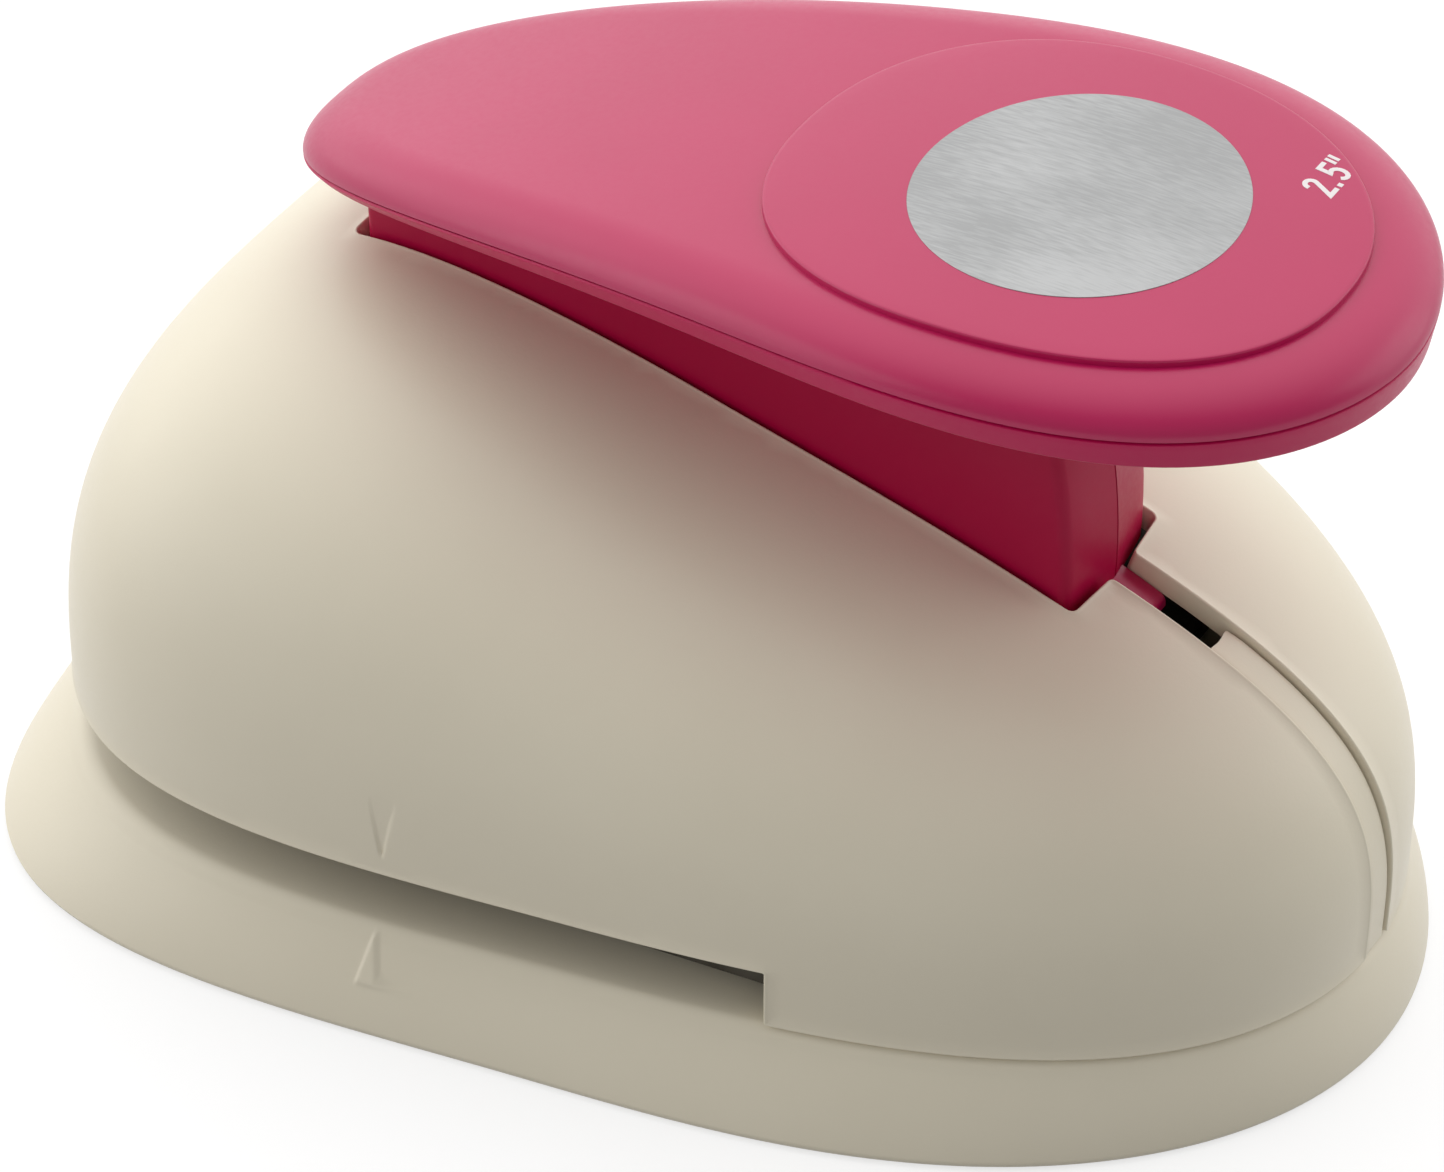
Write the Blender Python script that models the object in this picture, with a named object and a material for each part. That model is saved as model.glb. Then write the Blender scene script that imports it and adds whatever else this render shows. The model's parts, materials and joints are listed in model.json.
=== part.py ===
"""Lever paper punch that cuts a circle of 63.5 mm.

Metres, +Z up. The origin is the centre of the base's underside. +X runs to the wide end of the
lever, where the hand presses, and -X to the open end of the paper slot. Both sides of the plane
Y = 0 are alike. The lever is modelled raised, as it rests.
"""

import math

import bmesh
import bpy
from mathutils import Matrix, Vector

# General
CLEARANCE = 0.0003
OVERRUN = 0.004
ROUND_SEGMENTS = 48
PIN_SEGMENTS = 24
SCREW_SEGMENTS = 12
HOUSING_POINTS = 52
LEVER_POINTS = 40
PAD_POINTS = 32

# Cut
CUT_DIAMETER = 0.0635
PUNCH_X = -0.0145

# Housing: the domed cover, whose foot outline is also the rim of the base's deck
HOUSING_LENGTH = 0.1417
HOUSING_WIDTH = 0.1088
HOUSING_RISE = 0.0446
HOUSING_RISE_TILT = -0.0114
HOUSING_RISE_BOW = 0.0059
HOUSING_WALL = 0.0024
HOUSING_RINGS = 10
# Lean to one end, squareness, belly, and how much squarer the +X end is
HOUSING_OUTLINE_SHARES = (-0.29, 2.31, 0.21, -0.12)
# Powers of the crown's profile, outwards and upwards
HOUSING_CROWN_SHARES = (2.25, 3.5)

# Base: the flared skirt and the deck that the paper lies on
FRONT_FLARE = 0.0053
REAR_FLARE = 0.0030
SIDE_FLARE = 0.0048
DECK_HEIGHT = 0.0113
DECK_THICKNESS = 0.0025
BASE_WALL = 0.0032
BASE_EDGE_ROUND = 0.0010
DECK_EDGE_ROUND = 0.0006
SKIRT_BULGE = 0.0005
SKIRT_MIDDLE_SHARE = 0.5
BASE_OUTLINE_SHARES = (-0.27, 2.55, 0.16, -0.21)

# Paper slot and throat
SLOT_HEIGHT = 0.0078
PAPER_GAP = 0.0025
THROAT_DEPTH = 0.0064
THROAT_STEP = 0.0018

# Die, spacer and guide plates
DIE_THICKNESS = 0.0045
GUIDE_THICKNESS = 0.0030
DIE_INSET = 0.0030
PLATE_FRONT_MARGIN = 0.0078
PLATE_WIDTH = 0.0920
PLATE_THROAT_WIDTH = 0.0788
PLATE_REAR_WIDTH = 0.0660
PLATE_CORNER = 0.012
SPACER_LENGTH = 0.0113
SEAT_MARGIN = 0.0030
SEAT_THICKNESS = 0.0032
DROP_MARGIN = 0.0015

# Punch block and press plate
PUNCH_THICKNESS = 0.0080
PUNCH_RECESS = 0.0005
SPRING_ROOM = 0.0145
PRESS_THICKNESS = 0.0040
PRESS_BOSS_RADIUS = 0.020
PRESS_RIDGE_HEIGHT = 0.0010
PRESS_RIDGE_LENGTH = 0.015
PRESS_RIDGE_WIDTH = 0.011
EAR_RADIUS = 0.0050
PRESS_NOTCH_X = -0.0385

# Guide posts and return springs
POST_OFFSET = 0.0067
POST_RADIUS = 0.0020
POST_RUN = 0.0004
POST_STAND = 0.0010
SPRING_WIRE = 0.0009
SPRING_RUN = 0.0006
SPRING_TURNS = 5
SPRING_TURN_POINTS = 8

# Pivot
PIVOT_X = -0.0415
# Height of the pin above the deck
PIVOT_RISE = 0.0377
PIN_RADIUS = 0.0022
PIN_RUN = 0.00008
PIN_END = 0.0008
CLIP_RADIUS = 0.0042
CLIP_THICKNESS = 0.0010
CHEEK_THICKNESS = 0.0030
CHEEK_RADIUS = 0.0048
CHEEK_DEPTH = 0.0060
CHEEK_RUN = 0.0009
YOKE_FOOT_THICKNESS = 0.0025
YOKE_FOOT_WIDTH = 0.044

# Lever: cap above the seam, body below it
LEVER_LENGTH = 0.1240
LEVER_WIDTH = 0.0591
LEVER_X = 0.0066
LEVER_OUTLINE_SHARES = (0.33, 2.21, 0.13, -0.12)
# Height of the seam above the pin, at the lever's middle
SEAM_RISE = 0.0354
SEAM_SLOPE_SHARE = 0.173
SEAM_ARCH = 0.0075
CAP_RISE = 0.0035
CAP_ROUND = 0.0068
CAP_ROUND_STEPS = 4
CAP_WALL = 0.0020
SHEET_RING_SHARES = (0.3, 0.6, 0.85, 1.0)
LIP_DEPTH = 0.0029
LIP_INSET = 0.0012

# Lever web, its cam nose, stop lugs and toe
WEB_WIDTH = 0.0160
WEB_SIDE_GAP = 0.0005
WEB_BOSS_RADIUS = 0.0050
WEB_REACH = 0.0812
WEB_REAR_RIDGE = 0.0006
WEB_END_ROUND = 0.0006
WEB_REAR_GAP = 0.0006
WEB_REAR_DEPTH = 0.0030
WEB_RELIEF = 0.0018
WEB_STEP_RUN = 0.0033
# Places across the web where its side view is drawn, as shares of its half width
WEB_STATION_SHARES = (-1, -0.6, 0, 0.6, 1)
NOSE_RADIUS = 0.0050
TOE_WIDTH = 0.0038
TOE_LENGTH = 0.0066
TOE_ROOT = 0.0040
TOE_SINK = 0.0014
TOE_HEIGHT = 0.0030
LUG_LENGTH = 0.008
LUG_SETBACK = 0.0044
LUG_OVERHANG = 0.0016
LUG_HEIGHT = 0.0035

# Slot in the housing's ridge and the strip that closes its lower end
RIDGE_SLOT_CORNER = 0.0012
NARROW_SLOT_WIDTH = 0.0043
SPINE_SIDE_GAP = 0.0003
SPINE_TOP_X = 0.0520
SPINE_SINK = 0.0006
SPINE_FLANGE_GAP = 0.0011
SPINE_FLANGE_WIDTH = 0.0110
SPINE_FLANGE_THICKNESS = 0.0018
SPINE_STEPS = 9

# Thumb pad and metal disc
PAD_LENGTH = 0.0619
PAD_WIDTH = 0.0430
PAD_X = 0.0321
PAD_OUTLINE_SHARES = (-0.05, 2.12, 0.0, 0.0)
PAD_RISE = 0.0009
PAD_CROWN = 0.0004
PAD_SEAT = 0.0010
PAD_SIDE_GAP = 0.0002
DISC_X = 0.0332
DISC_DIAMETER = 0.0323
DISC_THICKNESS = 0.0008
DISC_SIDE_GAP = 0.00015

# Screws: head radius, head height and shank radius
SCREW_HEAD_RADIUS = 0.0028
SCREW_HEAD_HEIGHT = 0.0016
SCREW_SHANK_RADIUS = 0.0015
SCREW_BITE = 0.0120
DIE_SCREW_REST = 0.0012
FRAME_SCREW_SETBACK = 0.0045
FRAME_SCREW_SPREAD = 0.022
DIE_SCREW_SPREAD = 0.010
DIE_SCREW_EDGE = 0.0095
YOKE_SCREW_SPREAD = 0.0182
PRESS_SCREW_SPREAD = 0.0135
HOUSING_BOSS_RADIUS = 0.0040
BASE_BOSS_RADIUS = 0.0052
BASE_BOSS_DEPTH = 0.0045
REAR_BOSS_EDGE = 0.0120
REAR_BOSS_SPREAD = 0.0105
SIDE_BOSS_EDGE = 0.0245
SIDE_BOSS_SPREAD = 0.0195

# Worked out from the sizes above
CUT_RADIUS = CUT_DIAMETER / 2
HOUSING_X = (FRONT_FLARE - REAR_FLARE) / 2
HOUSING_FOOT = DECK_HEIGHT + CLEARANCE
BASE_LENGTH = HOUSING_LENGTH + FRONT_FLARE + REAR_FLARE
BASE_WIDTH = HOUSING_WIDTH + 2 * SIDE_FLARE
DIE_LOW = DECK_HEIGHT - DIE_THICKNESS
GUIDE_LOW = DECK_HEIGHT + PAPER_GAP
GUIDE_TOP = GUIDE_LOW + GUIDE_THICKNESS
PUNCH_LOW = GUIDE_LOW + PUNCH_RECESS
PUNCH_TOP = PUNCH_LOW + PUNCH_THICKNESS
PRESS_LOW = GUIDE_TOP + SPRING_ROOM
PRESS_TOP = PRESS_LOW + PRESS_THICKNESS
RIDGE_TOP = PRESS_TOP + PRESS_RIDGE_HEIGHT
SEAT_TOP = DIE_LOW - CLEARANCE
SEAT_LOW = SEAT_TOP - SEAT_THICKNESS
SPACER_FRONT = PUNCH_X + CUT_RADIUS + THROAT_DEPTH
THROAT_END = SPACER_FRONT + THROAT_STEP
PLATE_FRONT = PUNCH_X - CUT_RADIUS - PLATE_FRONT_MARGIN
PLATE_REAR = SPACER_FRONT + SPACER_LENGTH
PLATE_HALF_WIDTH = PLATE_WIDTH / 2
POST_SPREAD = (CUT_RADIUS + POST_OFFSET) * math.sqrt(0.5)
WEB_HALF = WEB_WIDTH / 2
SLOT_HALF = WEB_HALF + WEB_SIDE_GAP
CHEEK_INNER = WEB_HALF + CHEEK_RUN
CHEEK_OUTER = CHEEK_INNER + CHEEK_THICKNESS
PIN_REACH = CHEEK_OUTER + CLEARANCE + CLIP_THICKNESS + PIN_END
YOKE_LOW = GUIDE_TOP + CLEARANCE
YOKE_REAR = PUNCH_X - CUT_RADIUS - CHEEK_RUN
YOKE_FRONT = YOKE_REAR - CHEEK_DEPTH
PIVOT_Z = DECK_HEIGHT + PIVOT_RISE
SEAM_HEIGHT = PIVOT_Z + SEAM_RISE
PIVOT = Vector((PIVOT_X, 0, PIVOT_Z))
PUNCH_ORIGIN = Vector((PUNCH_X, 0, PUNCH_LOW))
HOUSING_REAR = HOUSING_X + HOUSING_LENGTH / 2
HOUSING_SCREWS = (
    (HOUSING_REAR - REAR_BOSS_EDGE, REAR_BOSS_SPREAD),
    (HOUSING_REAR - REAR_BOSS_EDGE, -REAR_BOSS_SPREAD),
    (HOUSING_REAR - SIDE_BOSS_EDGE, SIDE_BOSS_SPREAD),
    (HOUSING_REAR - SIDE_BOSS_EDGE, -SIDE_BOSS_SPREAD),
)
FRAME_SCREW_X = SPACER_FRONT + FRAME_SCREW_SETBACK
FRAME_SCREWS = (
    (FRAME_SCREW_X, -FRAME_SCREW_SPREAD),
    (FRAME_SCREW_X, 0),
    (FRAME_SCREW_X, FRAME_SCREW_SPREAD),
)
DIE_SCREW_FRONT = PLATE_FRONT + DIE_SCREW_EDGE
DIE_SCREW_SIDE = PLATE_HALF_WIDTH - DIE_SCREW_EDGE
DIE_SCREWS = (
    (DIE_SCREW_FRONT, -DIE_SCREW_SIDE),
    (DIE_SCREW_FRONT, DIE_SCREW_SIDE),
    (FRAME_SCREW_X, -DIE_SCREW_SPREAD),
    (FRAME_SCREW_X, DIE_SCREW_SPREAD),
)
YOKE_SCREW_X = (YOKE_FRONT + YOKE_REAR) / 2
YOKE_SCREWS = ((YOKE_SCREW_X, -YOKE_SCREW_SPREAD), (YOKE_SCREW_X, YOKE_SCREW_SPREAD))
PRESS_SCREWS = ((PUNCH_X, -PRESS_SCREW_SPREAD), (PUNCH_X, PRESS_SCREW_SPREAD))
POSTS = tuple(
    (PUNCH_X + along * POST_SPREAD, side * POST_SPREAD) for along in (-1, 1) for side in (-1, 1)
)

# Linear colour, roughness and metallic value of each material
MATERIALS = {
    "cream_plastic": ((0.74, 0.70, 0.58), 0.45, 0.0),
    "magenta_plastic": ((0.56, 0.010, 0.095), 0.38, 0.0),
    "brushed_metal": ((0.62, 0.62, 0.62), 0.30, 1.0),
    "steel": ((0.52, 0.52, 0.52), 0.32, 1.0),
    "dark_steel": ((0.16, 0.155, 0.14), 0.42, 1.0),
    "spring_steel": ((0.40, 0.40, 0.41), 0.35, 1.0),
    "white_nylon": ((0.78, 0.78, 0.75), 0.50, 0.0),
}


def clear_scene():
    for old in list(bpy.data.objects):
        bpy.data.objects.remove(old, do_unlink=True)


def material(name):
    found = bpy.data.materials.get(name)
    if found:
        return found
    colour, roughness, metallic = MATERIALS[name]
    made = bpy.data.materials.new(name)
    made.use_nodes = True
    shader = made.node_tree.nodes["Principled BSDF"]
    shader.inputs["Base Color"].default_value = (*colour, 1)
    shader.inputs["Roughness"].default_value = roughness
    shader.inputs["Metallic"].default_value = metallic
    return made


# Outlines


def power(value, squareness):
    return math.copysign(abs(value) ** (2 / squareness), value)


def outline_point(length, width, shares, turn):
    """Point of an egg-like outline about its middle, at an angle of the full turn."""
    lean, squareness, belly, change = shares
    local = squareness * (1 + change * math.cos(turn))
    along = power(math.cos(turn), local)
    across = power(math.sin(turn), local)
    swell = 1 + lean * along + belly * (along * along - 1 / 2)
    return length / 2 * along, width / 2 * across * swell


def turns(count):
    return [2 * math.pi * step / count for step in range(count)]


def share_inside(length, width, shares, x, y):
    """Share of the outline, scaled about its middle, that passes through a point."""
    if math.hypot(x, y) < CLEARANCE / 10:
        return 0.0
    wanted = math.atan2(abs(y), x)
    low, high = 0.0, math.pi
    for _ in range(40):
        middle = (low + high) / 2
        edge_x, edge_y = outline_point(length, width, shares, middle)
        if math.atan2(edge_y, edge_x) < wanted:
            low = middle
        else:
            high = middle
    edge_x, edge_y = outline_point(length, width, shares, low)
    return math.hypot(x, y) / math.hypot(edge_x, edge_y)


def rounded_box(half_length, half_width, radius, steps):
    """Corners of a rectangle with round corners about its middle."""
    points = []
    for quarter, (sign_x, sign_y) in enumerate(((1, 1), (-1, 1), (-1, -1), (1, -1))):
        centre_x = sign_x * (half_length - radius)
        centre_y = sign_y * (half_width - radius)
        for step in range(steps + 1):
            angle = math.pi / 2 * (quarter + step / steps)
            points.append((centre_x + radius * math.cos(angle), centre_y + radius * math.sin(angle)))
    return points


def plate_outline(margin):
    """Die and guide plate: round corners in front, tapered to the throat and more behind it."""
    steps = 4
    front = PLATE_FRONT - margin
    side = PLATE_HALF_WIDTH + margin
    rear = PLATE_REAR + margin
    rear_side = PLATE_REAR_WIDTH / 2 + margin
    corner = PLATE_CORNER + margin
    half = [(rear, rear_side), (THROAT_END, PLATE_THROAT_WIDTH / 2 + margin), (PUNCH_X, side)]
    for step in range(steps + 1):
        angle = math.pi / 2 * (1 + step / steps)
        half.append((front + corner + corner * math.cos(angle), side - corner + corner * math.sin(angle)))
    return half + [(x, -y) for x, y in reversed(half)]


def ridge_slot_outline():
    """Wide slot for the lever's web, then the narrow one down to the foot."""
    steps = 3
    front = PIVOT_X - WEB_BOSS_RADIUS - WEB_REAR_GAP
    shoulder = PIVOT_X + WEB_REACH + WEB_REAR_GAP
    radius = RIDGE_SLOT_CORNER
    half = [(HOUSING_REAR + OVERRUN, NARROW_SLOT_WIDTH / 2), (shoulder, NARROW_SLOT_WIDTH / 2)]
    half.append((shoulder, SLOT_HALF))
    for step in range(steps + 1):
        angle = math.pi / 2 * (1 + step / steps)
        side = SLOT_HALF - radius + radius * math.sin(angle)
        half.append((front + radius + radius * math.cos(angle), side))
    return half + [(x, -y) for x, y in reversed(half)]


# Surfaces


def housing_rise(share):
    return HOUSING_RISE + HOUSING_RISE_TILT * share + HOUSING_RISE_BOW * share * share


def housing_point(rise_turn, turn, inset):
    """Point of the housing, from its crown at zero to its foot at a quarter turn."""
    out = math.sin(rise_turn) ** (2 / HOUSING_CROWN_SHARES[0])
    up = max(math.cos(rise_turn), 0.0) ** (2 / HOUSING_CROWN_SHARES[1])
    length = HOUSING_LENGTH - 2 * inset
    x, y = outline_point(length, HOUSING_WIDTH - 2 * inset, HOUSING_OUTLINE_SHARES, turn)
    share = out * x * 2 / length
    return Vector((HOUSING_X + out * x, out * y, HOUSING_FOOT + (housing_rise(share) - inset) * up))


def housing_height(x, y, inset):
    """Height of the housing's surface above a point of the plan."""
    length = HOUSING_LENGTH - 2 * inset
    width = HOUSING_WIDTH - 2 * inset
    out = share_inside(length, width, HOUSING_OUTLINE_SHARES, x - HOUSING_X, y)
    up = max(1 - out ** HOUSING_CROWN_SHARES[0], 0.0) ** (1 / HOUSING_CROWN_SHARES[1])
    return HOUSING_FOOT + (housing_rise((x - HOUSING_X) * 2 / length) - inset) * up


def seam_height(x):
    share = (x - LEVER_X) / (LEVER_LENGTH / 2)
    return SEAM_HEIGHT + SEAM_SLOPE_SHARE * (x - LEVER_X) - SEAM_ARCH * share * share


def cap_height(x, y):
    """Height of the lever cap's outer surface above a point of the plan."""
    low, high = 0.0, CAP_ROUND
    for _ in range(20):
        inset = (low + high) / 2
        length = LEVER_LENGTH - 2 * inset
        width = LEVER_WIDTH - 2 * inset
        if share_inside(length, width, LEVER_OUTLINE_SHARES, x - LEVER_X, y) < 1:
            low = inset
        else:
            high = inset
    return seam_height(x) + CAP_RISE * math.sqrt(1 - (1 - low / CAP_ROUND) ** 2)


def pad_height(x, y):
    share = min(share_inside(PAD_LENGTH, PAD_WIDTH, PAD_OUTLINE_SHARES, x - PAD_X, y), 1.0)
    return cap_height(x, y) + PAD_RISE + PAD_CROWN * (1 - share * share)


def lever_ring(share, inset, rise):
    """Ring of a sheet that follows the seam, at a share of the lever's outline set in."""
    ring = []
    length = LEVER_LENGTH - 2 * inset
    width = LEVER_WIDTH - 2 * inset
    for turn in turns(LEVER_POINTS):
        x, y = outline_point(length, width, LEVER_OUTLINE_SHARES, turn)
        x = LEVER_X + share * x
        ring.append(Vector((x, share * y, seam_height(x) + rise)))
    return ring


def pad_ring(share, grow, surface, rise):
    """Ring over the pad's plan, at a share of its outline, lying on a surface."""
    ring = []
    length = PAD_LENGTH + 2 * grow
    width = PAD_WIDTH + 2 * grow
    for turn in turns(PAD_POINTS):
        x, y = outline_point(length, width, PAD_OUTLINE_SHARES, turn)
        x = PAD_X + share * x
        y = share * y
        ring.append(Vector((x, y, surface(x, y) + rise)))
    return ring


# Building blocks


def finish(name, bm, material_name=None, origin=None):
    """Turn a bmesh into an object, with its faces out and its origin placed."""
    bmesh.ops.recalc_face_normals(bm, faces=bm.faces)
    mesh = bpy.data.meshes.new(name)
    if origin is not None:
        bmesh.ops.translate(bm, verts=bm.verts, vec=-origin)
    bm.to_mesh(mesh)
    bm.free()
    made = bpy.data.objects.new(name, mesh)
    if origin is not None:
        made.location = origin
    bpy.context.scene.collection.objects.link(made)
    if material_name:
        dress(made, material_name)
    return made


def dress(made, material_name):
    made.data.materials.clear()
    made.data.materials.append(material(material_name))
    made.data.shade_smooth()
    made.data.set_sharp_from_angle(angle=math.radians(35))


def loft(name, rings, first=None, last=None, material_name=None, origin=None):
    """Closed skin over rings of equal count; each end is closed flat, or drawn to a point."""
    bm = bmesh.new()
    rows = [[bm.verts.new(point) for point in ring] for ring in rings]
    count = len(rows[0])
    for row, following in zip(rows, rows[1:]):
        for index in range(count):
            beside = (index + 1) % count
            bm.faces.new((row[index], row[beside], following[beside], following[index]))
    for row, tip in ((rows[0], first), (rows[-1], last)):
        if tip is None:
            bm.faces.new(row)
            continue
        point = bm.verts.new(tip)
        for index in range(count):
            bm.faces.new((row[index], row[(index + 1) % count], point))
    return finish(name, bm, material_name, origin)


def circle(x, y, z, radius, segments):
    steps = [2 * math.pi * (step + 0.5) / segments for step in range(segments)]
    return [Vector((x + radius * math.cos(turn), y + radius * math.sin(turn), z)) for turn in steps]


def rod(name, x, y, low, high, radius, segments, material_name=None, origin=None):
    rings = [circle(x, y, low, radius, segments), circle(x, y, high, radius, segments)]
    return loft(name, rings, material_name=material_name, origin=origin)


def cross_rod(name, x, z, low, high, radius, segments):
    """Round rod along Y."""
    rings = []
    for y in (low, high):
        rings.append([Vector((point.x, y, point.y)) for point in circle(x, z, 0, radius, segments)])
    return loft(name, rings)


def prism(name, outline, low, high, material_name=None, origin=None):
    rings = [[Vector((x, y, z)) for x, y in outline] for z in (low, high)]
    return loft(name, rings, material_name=material_name, origin=origin)


def side_prism(name, outline, low, high):
    """Outline in X and Z, drawn out along Y."""
    return loft(name, [[Vector((x, y, z)) for x, z in outline] for y in (low, high)])


def block(name, low, high):
    outline = ((low[0], low[1]), (high[0], low[1]), (high[0], high[1]), (low[0], high[1]))
    return prism(name, outline, low[2], high[2])


def combine(target, tools, operation):
    """Join tools to the target or cut them from it, and remove them."""
    for tool in tools:
        tool.display_type = "WIRE"
        tool.hide_render = True
        step = target.modifiers.new(tool.name, "BOOLEAN")
        step.operation = operation
        step.solver = "EXACT"
        step.object = tool
        evaluated = target.evaluated_get(bpy.context.evaluated_depsgraph_get())
        mesh = bpy.data.meshes.new_from_object(evaluated)
        target.modifiers.clear()
        target.data = mesh
        bpy.data.objects.remove(tool, do_unlink=True)
    return target


def cut(target, tools):
    return combine(target, tools, "DIFFERENCE")


def join(target, tools):
    return combine(target, tools, "UNION")


def move_origin(made, origin):
    made.data.transform(Matrix.Translation(-origin))
    made.location = origin


def holes(places, radius, low, high):
    return [rod("hole", x, y, low, high, radius, SCREW_SEGMENTS) for x, y in places]


def screw(name, place, head_low, tip, upright, origin=None):
    """Screw with its head's bearing face at head_low and its shank running to tip."""
    x, y = place
    head_end = head_low + (SCREW_HEAD_HEIGHT if upright else -SCREW_HEAD_HEIGHT)
    rings = [
        circle(x, y, tip, SCREW_SHANK_RADIUS, SCREW_SEGMENTS),
        circle(x, y, head_low, SCREW_SHANK_RADIUS, SCREW_SEGMENTS),
        circle(x, y, head_low, SCREW_HEAD_RADIUS, SCREW_SEGMENTS),
        circle(x, y, head_end, SCREW_HEAD_RADIUS, SCREW_SEGMENTS),
    ]
    return loft(name, rings, material_name="steel", origin=origin)


# Fixed pieces


def make_dome(name, inset, drop):
    """Solid under the housing's surface, set in by its wall where asked, with its foot lowered."""
    rings = []
    for step in range(HOUSING_RINGS, 0, -1):
        rise_turn = math.pi / 2 * step / HOUSING_RINGS
        rings.append([housing_point(rise_turn, turn, inset) for turn in turns(HOUSING_POINTS)])
    if drop:
        rings.insert(0, [point - Vector((0, 0, drop)) for point in rings[0]])
    return loft(name, rings, last=housing_point(0, 0, inset))


def make_housing():
    housing = make_dome("housing_shell", 0, 0)
    core = make_dome("core", HOUSING_WALL, OVERRUN)
    bosses = [
        rod("boss", x, y, HOUSING_FOOT - 2 * OVERRUN, HOUSING_FOOT + HOUSING_RISE, HOUSING_BOSS_RADIUS, 16)
        for x, y in HOUSING_SCREWS
    ]
    cut(core, bosses)
    cut(housing, [core])
    slot_low = (HOUSING_X - HOUSING_LENGTH, -HOUSING_WIDTH, 0)
    slot_high = (THROAT_END, HOUSING_WIDTH, DECK_HEIGHT + SLOT_HEIGHT)
    ridge_slot = prism("ridge_slot", ridge_slot_outline(), 0, PIVOT_Z + HOUSING_RISE)
    cut(housing, [block("paper_slot", slot_low, slot_high), ridge_slot])
    pilot_top = HOUSING_FOOT + SCREW_BITE + 2 * CLEARANCE
    cut(housing, holes(HOUSING_SCREWS, SCREW_SHANK_RADIUS + CLEARANCE, 0, pilot_top))
    dress(housing, "cream_plastic")


def base_ring(share, inset, height):
    """Ring of the base between its bottom outline, at share 0, and the deck's rim, at share 1."""
    ring = []
    for turn in turns(HOUSING_POINTS):
        low = outline_point(BASE_LENGTH - 2 * inset, BASE_WIDTH - 2 * inset, BASE_OUTLINE_SHARES, turn)
        rim_length = HOUSING_LENGTH - 2 * inset
        rim_width = HOUSING_WIDTH - 2 * inset
        rim = outline_point(rim_length, rim_width, HOUSING_OUTLINE_SHARES, turn)
        x = low[0] + share * (HOUSING_X + rim[0] - low[0])
        y = low[1] + share * (rim[1] - low[1])
        ring.append(Vector((x, y, height)))
    return ring


def make_base():
    middle = (BASE_EDGE_ROUND + DECK_HEIGHT) * SKIRT_MIDDLE_SHARE
    rings = [
        base_ring(0, BASE_EDGE_ROUND, 0),
        base_ring(0, 0, BASE_EDGE_ROUND),
        base_ring(SKIRT_MIDDLE_SHARE, -SKIRT_BULGE, middle),
        base_ring(1, 0, DECK_HEIGHT - DECK_EDGE_ROUND),
        base_ring(1, DECK_EDGE_ROUND, DECK_HEIGHT),
    ]
    base = loft("base_shell", rings)
    core_top = DECK_HEIGHT - DECK_THICKNESS
    core_rings = [
        base_ring(0, BASE_WALL, -OVERRUN),
        base_ring(0, BASE_WALL, BASE_EDGE_ROUND),
        base_ring(SKIRT_MIDDLE_SHARE, BASE_WALL, middle),
        base_ring(1, BASE_WALL, core_top),
    ]
    core = loft("core", core_rings)
    seat = prism("seat", plate_outline(SEAT_MARGIN - DIE_INSET), SEAT_LOW, DECK_HEIGHT)
    boss_low = core_top - BASE_BOSS_DEPTH
    bosses = [rod("boss", x, y, boss_low, DECK_HEIGHT, BASE_BOSS_RADIUS, 16) for x, y in HOUSING_SCREWS]
    cut(core, [seat] + bosses)
    pocket = prism("pocket", plate_outline(CLEARANCE - DIE_INSET), SEAT_TOP, DECK_HEIGHT + OVERRUN)
    drop = rod("drop", PUNCH_X, 0, -OVERRUN, DECK_HEIGHT, CUT_RADIUS + DROP_MARGIN, ROUND_SEGMENTS)
    cut(base, [core, pocket, drop])
    bore = SCREW_SHANK_RADIUS + CLEARANCE
    cut(base, holes(HOUSING_SCREWS + DIE_SCREWS, bore, -OVERRUN, DECK_HEIGHT + OVERRUN))
    dress(base, "cream_plastic")


def make_plates():
    die_hole = rod("hole", PUNCH_X, 0, 0, DECK_HEIGHT + OVERRUN, CUT_RADIUS + CLEARANCE, ROUND_SEGMENTS)
    die = prism("die_plate", plate_outline(-DIE_INSET), DIE_LOW, DECK_HEIGHT)
    bore = SCREW_SHANK_RADIUS + CLEARANCE
    cut(die, [die_hole] + holes(FRAME_SCREWS, bore, 0, DECK_HEIGHT + OVERRUN))
    cut(die, holes(DIE_SCREWS, bore, 0, DECK_HEIGHT - DIE_SCREW_REST))
    dress(die, "steel")

    guide_hole = rod("hole", PUNCH_X, 0, 0, GUIDE_TOP + OVERRUN, CUT_RADIUS + CLEARANCE, ROUND_SEGMENTS)
    guide = prism("guide_plate", plate_outline(0), GUIDE_LOW, GUIDE_TOP)
    post_holes = holes(POSTS, POST_RADIUS + CLEARANCE, 0, GUIDE_TOP + OVERRUN)
    screw_holes = holes(FRAME_SCREWS + YOKE_SCREWS, bore, 0, GUIDE_TOP + OVERRUN)
    cut(guide, [guide_hole] + post_holes + screw_holes)
    dress(guide, "dark_steel")

    half = PLATE_REAR_WIDTH / 2
    spacer_low = (SPACER_FRONT, -half, DECK_HEIGHT + CLEARANCE)
    spacer = block("throat_spacer", spacer_low, (PLATE_REAR, half, GUIDE_LOW - CLEARANCE))
    cut(spacer, holes(FRAME_SCREWS, bore, 0, GUIDE_TOP))
    dress(spacer, "dark_steel")


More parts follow.
